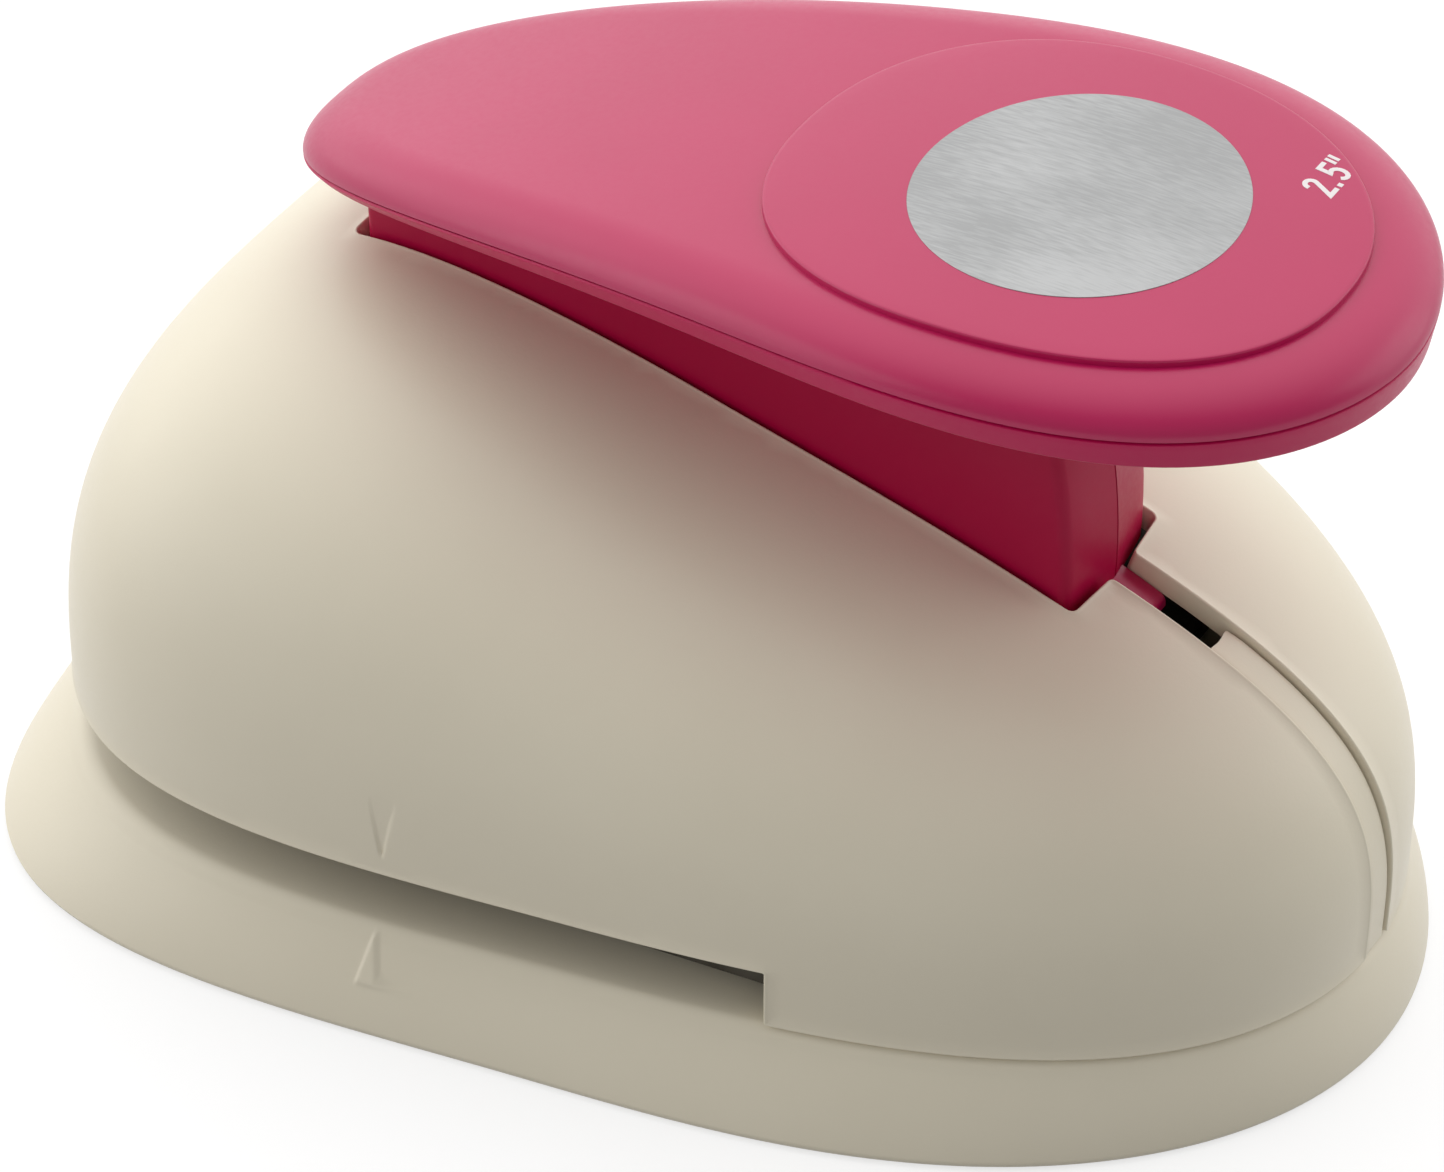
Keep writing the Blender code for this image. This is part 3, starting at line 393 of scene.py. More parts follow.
def between(values, limits):
    return (values > limits[0]) & (values < limits[1])


# Building blocks


def tool(name, vertices, faces):
    """Bare mesh object, to cut with or to finish later."""
    mesh = bpy.data.meshes.new(name)
    mesh.from_pydata([tuple(v) for v in vertices], [], faces)
    mesh.validate()
    bm = bmesh.new()
    bm.from_mesh(mesh)
    bmesh.ops.recalc_face_normals(bm, faces=bm.faces)
    bm.to_mesh(mesh)
    bm.free()
    made = bpy.data.objects.new(name, mesh)
    bpy.context.scene.collection.objects.link(made)
    return made


def finish_piece(made, body, material, smooth):
    made.data.materials.clear()
    made.data.materials.append(material)
    made.data.shade_smooth()
    made.data.set_sharp_from_angle(angle=math.radians(smooth))
    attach(made, body)


def new_object(name, vertices, faces, body, material, smooth):
    """Finished piece that rides on a body, with edges sharper than the angle kept sharp."""
    made = tool(name, vertices, faces)
    finish_piece(made, body, material, smooth)
    return made


def skin(rows, first=None, last=None):
    """Vertices and faces of a closed skin over rings, each end flat or drawn to a point."""
    count = len(rows[0])
    vertices = [tuple(p) for row in rows for p in row]
    faces = []
    for r in range(len(rows) - 1):
        for i in range(count):
            j = (i + 1) % count
            faces.append((r * count + i, r * count + j, (r + 1) * count + j, (r + 1) * count + i))
    for start, tip in ((0, first), ((len(rows) - 1) * count, last)):
        if tip is None:
            faces.append(tuple(range(start, start + count)))
            continue
        vertices.append(tuple(tip))
        for i in range(count):
            faces.append((start + i, start + (i + 1) % count, len(vertices) - 1))
    return vertices, faces


def prism(points, low, high):
    return tool("tool", *skin([[(x, y, low) for x, y in points], [(x, y, high) for x, y in points]]))


def disc_points(x, y, radius, count):
    turn = np.arange(count) * 2 * math.pi / count
    return list(zip(x + radius * np.cos(turn), y + radius * np.sin(turn)))


def cut(target, tools):
    for other in tools:
        step = target.modifiers.new("cut", "BOOLEAN")
        step.operation = "DIFFERENCE"
        step.solver = "EXACT"
        step.object = other
        evaluated = target.evaluated_get(bpy.context.evaluated_depsgraph_get())
        mesh = bpy.data.meshes.new_from_object(evaluated)
        target.modifiers.clear()
        target.data = mesh
        bpy.data.objects.remove(other, do_unlink=True)


# Materials

# Scales of the noise in waves per metre, depths of the relief in metres, and changes of the roughness
CLOUD_SCALE = 45
SHEEN_SCALE = 1400
GRAIN_SCALE = 2600
GRAIN_DEPTH = 0.000008
RIPPLE_SCALE = 320
RIPPLE_DEPTH = 0.000012
METAL_CLOUD_SCALE = 48
METAL_CLOUD_STRETCH = (1, 1.6, 1)
METAL_SHEEN = 0.06
PLASTIC_SHEEN = (-0.03, 0.04)
NOISE_RANGE = (0.3, 0.7)


def shader_of(name):
    made = bpy.data.materials.new(name)
    made.use_nodes = True
    return made, made.node_tree, made.node_tree.nodes["Principled BSDF"]


def node(tree, kind, **values):
    made = tree.nodes.new(kind)
    for key, value in values.items():
        setattr(made, key, value)
    return made


def noise_of(tree, scale, detail=3.0, stretch=(1, 1, 1)):
    """Noise in the object's own coordinates, with an even or stretched scale."""
    place = node(tree, "ShaderNodeTexCoord")
    mapping = node(tree, "ShaderNodeMapping")
    mapping.inputs["Scale"].default_value = stretch
    texture = node(tree, "ShaderNodeTexNoise")
    texture.inputs["Scale"].default_value = scale
    texture.inputs["Detail"].default_value = detail
    tree.links.new(place.outputs["Object"], mapping.inputs["Vector"])
    tree.links.new(mapping.outputs["Vector"], texture.inputs["Vector"])
    return texture.outputs["Fac"]


def spread(tree, value, low, high, limits=NOISE_RANGE):
    made = node(tree, "ShaderNodeMapRange")
    made.inputs["From Min"].default_value = limits[0]
    made.inputs["From Max"].default_value = limits[1]
    made.inputs["To Min"].default_value = low
    made.inputs["To Max"].default_value = high
    tree.links.new(value, made.inputs["Value"])
    return made.outputs["Result"]


def ramp(tree, value, first, second):
    made = node(tree, "ShaderNodeValToRGB")
    made.color_ramp.elements[0].position = NOISE_RANGE[0]
    made.color_ramp.elements[0].color = (*first, 1)
    made.color_ramp.elements[1].position = NOISE_RANGE[1]
    made.color_ramp.elements[1].color = (*second, 1)
    tree.links.new(value, made.inputs["Fac"])
    return made.outputs["Color"]


def bump(tree, shader, layers):
    """Fine relief from (height value, depth in metres) layers."""
    normal = None
    for value, depth in layers:
        made = node(tree, "ShaderNodeBump")
        made.inputs["Strength"].default_value = 1.0
        made.inputs["Distance"].default_value = depth
        tree.links.new(value, made.inputs["Height"])
        if normal:
            tree.links.new(normal, made.inputs["Normal"])
        normal = made.outputs["Normal"]
    tree.links.new(normal, shader.inputs["Normal"])


def plastic(name, colour, other, roughness, grain=1.0, specular=0.5):
    """Moulded plastic: faint clouds in its colour, and the fine grain of the mould."""
    made, tree, shader = shader_of(name)
    tree.links.new(ramp(tree, noise_of(tree, CLOUD_SCALE), colour, other), shader.inputs["Base Color"])
    low, high = roughness + PLASTIC_SHEEN[0], roughness + PLASTIC_SHEEN[1]
    rough = spread(tree, noise_of(tree, SHEEN_SCALE, 2.0), low, high)
    tree.links.new(rough, shader.inputs["Roughness"])
    shader.inputs["Specular IOR Level"].default_value = specular
    bump(tree, shader, [
        (noise_of(tree, GRAIN_SCALE, 2.0), GRAIN_DEPTH * grain),
        (noise_of(tree, RIPPLE_SCALE, 2.0), RIPPLE_DEPTH * grain),
    ])
    return made


def metal(name, colour, other, roughness, stretch, scale, depth, turned=0.0, clouds=0.0):
    """Metal with fine lines drawn along one direction, and broad clouds of lighter and darker metal."""
    made, tree, shader = shader_of(name)
    lines = noise_of(tree, scale, 4.0, stretch)
    tone = lines
    if clouds:
        noise = noise_of(tree, METAL_CLOUD_SCALE, 1.0, METAL_CLOUD_STRETCH)
        broad = spread(tree, noise, -clouds, clouds)
        mixed = node(tree, "ShaderNodeMath", operation="ADD")
        tree.links.new(lines, mixed.inputs[0])
        tree.links.new(broad, mixed.inputs[1])
        tone = mixed.outputs[0]
    tree.links.new(ramp(tree, tone, colour, other), shader.inputs["Base Color"])
    rough = spread(tree, lines, roughness - METAL_SHEEN, roughness + METAL_SHEEN)
    tree.links.new(rough, shader.inputs["Roughness"])
    shader.inputs["Metallic"].default_value = 1.0
    if turned:
        across = node(tree, "ShaderNodeCombineXYZ")
        across.inputs["Y"].default_value = 1.0
        tree.links.new(across.outputs["Vector"], shader.inputs["Tangent"])
        shader.inputs["Anisotropic"].default_value = turned
    bump(tree, shader, [(lines, depth)])
    return made


CREAM = plastic("cream_satin", (0.770, 0.706, 0.558), (0.790, 0.726, 0.577), 0.40)
MAGENTA = plastic(
    "magenta_satin", (0.455, 0.0012, 0.078), (0.48, 0.0015, 0.086), 0.31, grain=0.2, specular=0.56)
# Darker copy of the lever's magenta, with little gloss, for the web: painted shade where the web sits
# under the lever
SHADED_WEB_MAGENTA = plastic(
    "magenta_web_painted_shade", (0.400, 0.0010, 0.044), (0.425, 0.0012, 0.051), 0.38, grain=0.2, specular=0.20)
# Lighter copy of the lever's magenta, with less gloss, for the lower shell's lip: painted reflection of
# the pale floor and housing below it
LIT_LIP_MAGENTA = plastic(
    "magenta_lip_painted_light", (0.530, 0.0012, 0.082), (0.555, 0.0015, 0.090), 0.36, grain=0.2, specular=0.28)
STEEL = metal(
    "ground_steel", (0.50, 0.50, 0.49), (0.60, 0.60, 0.59), 0.30,
    stretch=(1, 30, 1), scale=60, depth=0.000006)
DARK_STEEL = metal(
    "dark_steel", (0.055, 0.050, 0.040), (0.085, 0.078, 0.064), 0.48,
    stretch=(1, 25, 1), scale=60, depth=0.000006)
SPRING = metal(
    "spring_steel", (0.34, 0.34, 0.35), (0.44, 0.44, 0.45), 0.33,
    stretch=(1, 1, 1), scale=900, depth=0.000004)
NYLON = plastic("white_nylon", (0.76, 0.76, 0.73), (0.79, 0.79, 0.76), 0.5)
BRUSHED = metal(
    "brushed_disc", (0.290, 0.292, 0.292), (0.410, 0.413, 0.413), 0.36,
    stretch=(1, 10, 1), scale=420, depth=0.000003, turned=0.8, clouds=0.17)
PRINT = plastic("pale_print", (0.76, 0.70, 0.70), (0.80, 0.75, 0.75), 0.5)

SLOT_MATERIALS = {
    "cream_plastic": CREAM,
    "magenta_plastic": MAGENTA,
    "brushed_metal": BRUSHED,
    "steel": STEEL,
    "dark_steel": DARK_STEEL,
    "spring_steel": SPRING,
    "white_nylon": NYLON,
}
for part in frame["record"]["subparts"]:
    for place in frame["nodes"][part["node"]].material_slots:
        place.material = SLOT_MATERIALS[part["material_slot"]]


# Housing

# Rounded lip of its openings, with a slight bead outside it
LIP = 0.00018
LIP_BEAD = 0.00013
LIP_SPREAD = 0.00032
LIP_TURNS = np.radians([90, 67.5, 45, 22.5, 0])
BEAD_PARTS = (0.4, 1.0)

# Corners of its openings, and the points of their edges
SLOT_CORNERS = (0.0012, 0.0009, 0.0007)
FOOT_CORNER = 0.0005
THROAT_CORNERS = (0.0004, 0.0002)
CORNER_RUN = 0.004
FOOT_SIDE = 0.0060
EDGE_SPACING = 0.0008
FOOT_POINTS = 80
PAPER_SLOT_POINTS = 150

# V mark on the housing, with its point down, and the one below it on the skirt, with its point up
MARK_EDGE = 0.00042
MARK_POINT_SHARE = 0.4
MARK_X = -0.0144
MARK_LEAN = 0.0002
MARK_LOW = 0.0212
MARK_HEIGHT = 0.0072
MARK_WIDTH = 0.0026
MARK_DEPTH = 0.00028
MARK_FADE = 1.15
MARK_FADE_POWER = 0.8
SKIRT_MARK_X = -0.0154
SKIRT_MARK_LEAN = 0.0008
SKIRT_MARK_TOP = 0.0109
SKIRT_MARK_HEIGHT = 0.0056
SKIRT_MARK_WIDTH = 0.0027
SKIRT_MARK_DEPTH = 0.00026
SKIRT_MARK_FADE = 0.12
SKIRT_MARK_SIDE = 0.02

# Mesh of the housing: an even grid, and a fine patch (start, end, spacing) round its mark
GRID_START = 0.004
GRID_STEP = 0.0013
GRID_TURNS = 260
GRID_ROOM = 0.0011
PATCH_X = (-0.0174, -0.0114, 0.00016)
PATCH_Z = (0.0200, 0.0296, 0.00022)
PATCH_ROOM = 0.0006
PATCH_LIMITS_X = (-0.0176, -0.0112)
PATCH_LIMITS_Z = (0.019, 0.0298)
PROBE_REACH = 0.0003
PROBE_POINT = 100
CDT_SCALE = 1000
CDT_INSIDE = 1
CDT_NEAR = 1e-7


def turn_of(point):
    return math.atan2(point[1], point[0])


def housing_edge():
    """The +Y half of the housing's edge, in its plane: ridge slot, rear foot, throat wall, paper slot."""
    slot = round_corners(
        [(SLOT_FRONT, 0), (SLOT_FRONT, SLOT_HALF), (SLOT_SHOULDER - SHOULDER_LEAN, SLOT_HALF),
         (SLOT_SHOULDER, NARROW_HALF), (NARROW_END, NARROW_HALF)],
        SLOT_CORNERS,
    )
    slot = np.array(resample(slot, EDGE_SPACING))
    slot_edge = housing_from_plan(slot[:, 0], slot[:, 1])
    top = from_plane(slot_edge[-1:])[0, 2]
    rear = round_corners([(NARROW_HALF, top), (NARROW_HALF, FOOT), (FOOT_SIDE, FOOT)], (FOOT_CORNER,))
    rear = np.array(resample(rear, EDGE_SPACING))[1:]
    rear_edge = housing_from_side(rear[:, 0], rear[:, 1], axis=1)
    throat = round_corners(
        [(THROAT_END + CORNER_RUN, FOOT), (THROAT_END, FOOT), (THROAT_END, SLOT_TOP),
         (THROAT_END - CORNER_RUN, SLOT_TOP)],
        THROAT_CORNERS,
    )
    throat = np.array(resample(throat, EDGE_SPACING))
    throat_edge = housing_from_side(throat[:, 0], throat[:, 1])
    turn = np.linspace(turn_of(rear_edge[-1]), turn_of(throat_edge[0]), FOOT_POINTS)[1:-1]
    foot_edge = to_plane(np.full(turn.shape, math.pi / 2), turn)
    turn = np.linspace(turn_of(throat_edge[-1]), math.pi, PAPER_SLOT_POINTS)[1:]
    paper_edge = to_plane(rise_at(SLOT_TOP, turn), turn)
    return np.concatenate([slot_edge, rear_edge, foot_edge, throat_edge, paper_edge])


def soft_step(value):
    value = np.clip(value, 0, 1)
    return value * value * (3 - 2 * value)


def mark_depth(across, up, width, level):
    """Depth share of a V mark with soft sides: across from its middle, up from its point as a share."""
    half = width / 2 * np.clip(up, 0, 1)
    side = soft_step((half - np.abs(across)) / MARK_EDGE + 0.5)
    return side * np.minimum(1, half / (MARK_POINT_SHARE * MARK_EDGE)) * level


def inside_loop(points, loop):
    result = np.zeros(len(points), bool)
    px, py = points[:, 0], points[:, 1]
    for (ax, ay), (bx, by) in zip(loop, np.roll(loop, -1, axis=0)):
        if ay == by:
            continue
        crosses = (ay > py) != (by > py)
        result ^= crosses & (px < (bx - ax) * (py - ay) / (by - ay) + ax)
    return result


def edge_loops(edge):
    """The edge and the loops that round it off, and the depth of each below the surface."""
    place = from_plane(edge)
    along = np.roll(place, -1, axis=0) - np.roll(place, 1, axis=0)
    inward = np.cross(plane_normals(edge), along)
    inward /= np.linalg.norm(inward, axis=1)[:, None]
    probe = settle(edge, place + inward * PROBE_REACH)
    if not inside_loop(probe[PROBE_POINT:PROBE_POINT + 1], edge)[0]:
        inward = -inward
    loops = [edge]
    depths = [LIP - LIP_BEAD]
    for turn in LIP_TURNS[1:]:
        loops.append(settle(edge, place + inward * LIP * (1 - math.sin(turn))))
        depths.append(LIP * (1 - math.cos(turn)) - LIP_BEAD)
    for part in BEAD_PARTS:
        loops.append(settle(edge, place + inward * (LIP + LIP_SPREAD * part)))
        depths.append(-LIP_BEAD * (1 - soft_step(part)))
    return loops, depths


def surface_points(edge):
    """Plane points inside the edge: an even grid, and a fine patch round the mark on each side."""
    arcs = np.arange(GRID_START, _ARC[-1], GRID_STEP)
    turns = np.linspace(-math.pi, math.pi, GRID_TURNS + 1)[:-1]
    grid = np.array([(a * math.cos(t), a * math.sin(t)) for a in arcs for t in turns])
    patch_x, patch_z = np.meshgrid(np.arange(*PATCH_X), np.arange(*PATCH_Z))
    patch = housing_from_side(patch_x.ravel(), patch_z.ravel())
    patch = np.concatenate([patch, patch * [1, -1]])
    solid = from_plane(grid)
    in_patch = between(solid[:, 0], PATCH_LIMITS_X) & between(solid[:, 2], PATCH_LIMITS_Z)
    grid = np.concatenate([grid[~in_patch], patch])
    grid = grid[inside_loop(grid, edge)]
    tree = KDTree(len(edge))
    for index, point in enumerate(from_plane(edge)):
        tree.insert(point, index)
    tree.balance()
    distance = np.array([tree.find(p)[2] for p in from_plane(grid)])
    fine = np.isin(np.round(grid[:, 0], 9), np.round(patch[:, 0], 9))
    return grid[distance > LIP + np.where(fine, PATCH_ROOM, GRID_ROOM)]


def make_housing():
    half = housing_edge()
    edge = np.concatenate([half, (half[1:-1] * [1, -1])[::-1]])
    loops, depths = edge_loops(edge)
    grid = surface_points(edge)
    plane = np.concatenate(loops + [grid])
    depth = np.concatenate([np.repeat(depths, len(edge)), np.zeros(len(grid))])
    count = len(edge)
    links = [(k * count + i, k * count + (i + 1) % count) for k in range(len(loops)) for i in range(count)]
    flat = [Vector(p) for p in plane * CDT_SCALE]
    verts, _, faces, origins, _, _ = delaunay_2d_cdt(flat, links, [], CDT_INSIDE, CDT_NEAR, True)
    plane = np.array([(v.x, v.y) for v in verts]) / CDT_SCALE
    centres = np.array([plane[list(f)].mean(axis=0) for f in faces])
    shown = [tuple(f) for f, kept in zip(faces, inside_loop(centres, edge)) if kept]
    depth = np.array([depth[o[0]] if o else 0.0 for o in origins])
    point = from_plane(plane)
    normal = plane_normals(plane)
    up = (point[:, 2] - MARK_LOW) / MARK_HEIGHT
    across = point[:, 0] - (MARK_X + MARK_LEAN * up)
    level = np.clip(MARK_FADE - up, 0, 1) ** MARK_FADE_POWER
    depth = depth + MARK_DEPTH * mark_depth(across, up, MARK_WIDTH, level)
    outside = point - normal * depth[:, None]
    inside = point - normal * HOUSING_WALL
    size = len(point)
    sides = dict.fromkeys((a, b) for f in shown for a, b in zip(f, f[1:] + f[:1]))
    rim = [(a, b) for a, b in sides if (b, a) not in sides]
    vertices = np.concatenate([outside, inside])
    all_faces = shown + [tuple(size + i for i in reversed(f)) for f in shown]
    all_faces += [(b, a, size + a, size + b) for a, b in rim]
    shell = new_object("housing_dome", vertices, all_faces, "frame", CREAM, 50)
    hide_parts("housing_shell")


# Base

BASE_TURNS = 240
CORE_TURNS = 120
CORE_BEND = 0.006
EDGE_STEPS = 5
SKIRT_BEND = 0.90
SKIRT_ROWS = 34
DECK_ROWS = 8
DECK_INSETS = (0.0013, 0.0026, 0.0050)
SKIRT_FINE_X = (-0.0180, -0.0118, 0.00015)
SKIRT_FINE_LIMITS = (-0.0182, -0.0116)


def base_ring(turn, share, inset, height):
    low = outline(BASE_LENGTH - 2 * inset, BASE_WIDTH - 2 * inset, BASE_SHARES, turn)
    rim = outline(HOUSING_LENGTH - 2 * inset, HOUSING_WIDTH - 2 * inset, HOUSING_SHARES, turn)
    x = low[0] + share * (HOUSING_X + rim[0] - low[0])
    y = low[1] + share * (rim[1] - low[1])
    return np.stack([x, y, np.full(turn.shape, height)], -1)


def skirt_ring(turn, share):
    height = BASE_EDGE + share * (DECK - DECK_EDGE - BASE_EDGE)
    return base_ring(turn, share, -SKIRT_BULGE * 4 * share * (1 - share), height)


def plate_points(margin):
    """Outline of the die plate grown by a margin, as in the CAD."""
    front = PUNCH_X - CUT_RADIUS - PLATE_FRONT_MARGIN - margin
    side = PLATE_HALF_WIDTH + margin
    corner = PLATE_CORNER + margin
    half = [
        (PLATE_REAR + margin, PLATE_REAR_HALF + margin),
        (THROAT_END, PLATE_THROAT_HALF + margin),
        (PUNCH_X, side),
    ]
    for step in range(9):
        angle = math.pi / 2 * (1 + step / 8)
        half.append((front + corner + corner * math.cos(angle), side - corner + corner * math.sin(angle)))
    return half + [(x, -y) for x, y in reversed(half)]


def skirt_turns():
    """Turns of the base's outline, finer where the marks are."""
    even = full_turn(BASE_TURNS)
    rim_x = HOUSING_X + outline(HOUSING_LENGTH, HOUSING_WIDTH, HOUSING_SHARES, even)[0]
    search = np.linspace(math.pi / 2, math.pi, 4000)
    search_x = HOUSING_X + outline(HOUSING_LENGTH, HOUSING_WIDTH, HOUSING_SHARES, search)[0]
    fine = [float(np.interp(-x, -search_x, search)) for x in np.arange(*SKIRT_FINE_X)]
    coarse = even[~between(rim_x, SKIRT_FINE_LIMITS)]
    return np.sort(np.concatenate([coarse, fine, [2 * math.pi - t for t in fine]]))


def make_base():
    turn = skirt_turns()
    rows = [base_ring(turn, 0, BASE_EDGE, 0.0)]
    for angle in quarter_turns(EDGE_STEPS)[:-1]:
        inset = BASE_EDGE * (1 - math.sin(angle))
        rows.append(base_ring(turn, 0, inset, BASE_EDGE * (1 - math.cos(angle))))
    for share in np.linspace(0, SKIRT_BEND, SKIRT_ROWS):
        rows.append(skirt_ring(turn, share))
    start = skirt_ring(turn, SKIRT_BEND)
    corner = base_ring(turn, 1, 0, DECK)
    end = base_ring(turn, 1, DECK_INSETS[0], DECK)
    for t in np.linspace(0, 1, DECK_ROWS + 1)[1:]:
        rows.append((1 - t) ** 2 * start + 2 * t * (1 - t) * corner + t * t * end)
    rows += [base_ring(turn, 1, inset, DECK) for inset in DECK_INSETS[1:]]
    for row in rows:
        up = (SKIRT_MARK_TOP - row[:, 2]) / SKIRT_MARK_HEIGHT
        across = row[:, 0] - (SKIRT_MARK_X + SKIRT_MARK_LEAN * up)
        level = soft_step((1 - up) / SKIRT_MARK_FADE)
        height = SKIRT_MARK_DEPTH * mark_depth(across, up, SKIRT_MARK_WIDTH, level)
        row[:, 1] += np.sign(row[:, 1]) * height * (np.abs(row[:, 1]) > SKIRT_MARK_SIDE)
    base = tool("base_flared", *skin(rows))
    core_turn = full_turn(CORE_TURNS)
    core = tool("core", *skin([
        base_ring(core_turn, 0, BASE_WALL, -OVERRUN),
        base_ring(core_turn, 0, BASE_WALL, BASE_EDGE),
        base_ring(core_turn, 0.5, BASE_WALL, CORE_BEND),
        base_ring(core_turn, 1, BASE_WALL, DECK - DECK_THICKNESS),
    ]))
    bosses = [prism(disc_points(x, y, BOSS_RADIUS, 40), BOSS_LOW, DECK) for x, y in HOUSING_SCREWS]
    cut(core, [prism(plate_points(0), SEAT_LOW, DECK)] + bosses)
    seat = prism(plate_points(-SEAT_INSET), SEAT_TOP, DECK + OVERRUN)
    drop = prism(disc_points(PUNCH_X, 0, CUT_RADIUS + DROP_MARGIN, 128), -OVERRUN, DECK)
    cut(base, [core, seat, drop])
    finish_piece(base, "frame", CREAM, 38)
    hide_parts("base_shell")


# Strip at the rear


def strip_row(start, ys, part, undercut, depth):
    """Points across the strip at a share of its length, at depths below the housing's surface."""
    arc = start + (_ARC[-1] - start) * part + undercut * (1 - part)
    plane = np.stack([arc, np.zeros(arc.shape)], -1)
    point = from_plane(plane)
    normal = plane_normals(plane)
    normal[:, 1] = 0
    point[:, 1] = ys
    return point - normal * depth[:, None]


def make_spine():
    """Strip along the housing's ridge, with rounded sides and a hollow upper end."""
    ridge_x = housing(_RISE, np.zeros(_RISE.shape))[:, 0]
    arc_top = float(np.interp(np.interp(SPINE_TOP_X, ridge_x, _RISE), _RISE, _ARC))
    side = STRIP_HALF - STRIP_ROUND * (1 - np.sin(LIP_TURNS))
    flat = STRIP_HALF - STRIP_FLAT_INSET
    ys = np.concatenate([-side, np.linspace(-flat, flat, STRIP_COLUMNS), side[::-1]])
    side_fall = STRIP_ROUND * (1 - np.cos(LIP_TURNS))
    fall = np.concatenate([side_fall, np.zeros(STRIP_COLUMNS), side_fall[::-1]])
    across = np.abs(ys) / STRIP_HALF
    notch = STRIP_END_HOLLOW * (1 - across ** 2) + STRIP_END_CORNER * across ** 8
    start = arc_top - STRIP_END_LAP + notch
    rows = []
    for step in range(STRIP_ROWS + 1):
        part = step / STRIP_ROWS
        lowered = float(soft_step((part - STRIP_SINK_START) / STRIP_SINK_RUN))
        sink = STRIP_HIGH_SINK + (STRIP_LOW_SINK - STRIP_HIGH_SINK) * lowered
        end_fall = STRIP_END_FALL * max(0.0, 1 - step / STRIP_END_ROWS)
        top = strip_row(start, ys, part, 0.0, sink + fall + end_fall)
        low = strip_row(start, ys, part, STRIP_UNDERCUT, np.full(ys.shape, sink + STRIP_THICKNESS))
        rows.append(np.concatenate([top, low[::-1]]))
    strip_piece = new_object("spine_strip", *skin(rows), "frame", CREAM, 45)
    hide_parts("rear_spine")


# Lever


def seam_height(x):
    share = (x - LEVER_X) / (LEVER_LENGTH / 2)
    return SEAM + SEAM_SLOPE * (x - LEVER_X) - SEAM_ARCH * share * share


LEVER_TURNS = full_turn(220)
SHEET_SHARES = np.linspace(0.06, 1, 14)


def lever_ring(share, inset, rise):
    x, y = outline(LEVER_LENGTH - 2 * inset, LEVER_WIDTH - 2 * inset, LEVER_SHARES, LEVER_TURNS)
    x = LEVER_X + share * x
    return np.stack([x, share * y, seam_height(x) + rise], -1)


def lip_depth(x):
    return LIP_DEPTH + LIP_GROWTH * (x - LEVER_X)


def lip_ring(share, inset, part, rise=0.0):
    """Ring of the lever's outline at a share of the lip's depth below the seam."""
    ring = lever_ring(share, inset, rise)
    ring[:, 2] -= part * lip_depth(ring[:, 0])
    return ring


def lever_tip(rise):
    return (LEVER_X, 0, seam_height(LEVER_X) + rise)


def make_cap():
    rows = [lever_ring(share, CAP_ROUND, CAP_RISE) for share in SHEET_SHARES]
    for turn in quarter_turns(18)[:-1]:
        rows.append(lever_ring(1, CAP_ROUND * (1 - math.sin(turn)), CAP_RISE * math.cos(turn)))
    rows.append(lever_ring(1, 0, CAP_EDGE))
    rows += [lever_ring(1, inset, CAP_LOW) for inset in CAP_INSETS]
    rows += [lever_ring(share, CAP_SHEET_INSET, CAP_LOW) for share in (0.9, 0.6, 0.3)]
    tips = lever_tip(CAP_RISE), lever_tip(CAP_LOW)
    cap = new_object("lever_top_shell", *skin(rows, *tips), "lever", MAGENTA, 35)
    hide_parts("lever_cap")


PAD_TURNS = full_turn(180)


def pad_base(x):
    return seam_height(x) + CAP_RISE


def pad_ring(share, grow, rise):
    x, y = outline(PAD_LENGTH + 2 * grow, PAD_WIDTH + 2 * grow, PAD_SHARES, PAD_TURNS)
    x = PAD_X + share * x
    return np.stack([x, share * y, pad_base(x) + rise], -1)


def pad_tip(rise):
    return (PAD_X, 0, pad_base(PAD_X) + rise)


def pad_height(x, y):
    share = share_inside(PAD_LENGTH, PAD_WIDTH, PAD_SHARES, x - PAD_X, y)[0]
    return pad_base(x) + PAD_RISE + PAD_CROWN * (1 - share * share)


def disc_ring(radius, rise):
    """Ring of the disc, which follows the pad's crown."""
    x, y = np.array(disc_points(DISC_X, 0, radius, DISC_POINTS)).T
    return np.stack([x, y, pad_height(x, y) + rise], -1)


def make_pad():
    rows = []
    for share in np.linspace(0.06, 0.985, 14):
        rows.append(pad_ring(share, 0, PAD_RISE + PAD_CROWN * (1 - share * share)))
    for turn in quarter_turns(5):
        drop = PAD_EDGE * (1 - math.cos(turn))
        rows.append(pad_ring(1, -PAD_EDGE * (1 - math.sin(turn)), PAD_RISE - drop))
    rows += [pad_ring(share, 0, -PAD_SEAT) for share in (1, 0.8, 0.5)]
    tips = pad_tip(PAD_RISE + PAD_CROWN), pad_tip(-PAD_SEAT)
    pad = new_object("thumb_oval", *skin(rows, *tips), "lever", MAGENTA, 35)
    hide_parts("thumb_pad")


def make_disc():
    rings = [disc_ring(DISC_RADIUS * share, DISC_PROUD) for share in (0.1, 0.3, 0.5, 0.7, 0.85, 0.95)]
    rings.append(disc_ring(DISC_RADIUS - DISC_PROUD / 2, DISC_PROUD))
    rings.append(disc_ring(DISC_RADIUS, DISC_PROUD / 2))
    rings.append(disc_ring(DISC_RADIUS, -DISC_SINK))
    middle = float(pad_height(DISC_X, 0.0))
    tips = (DISC_X, 0, middle + DISC_PROUD), (DISC_X, 0, middle - DISC_SINK)
    disc = new_object("brushed_disc", *skin(rings, *tips), "lever", BRUSHED, 30)
    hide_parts("metal_disc")


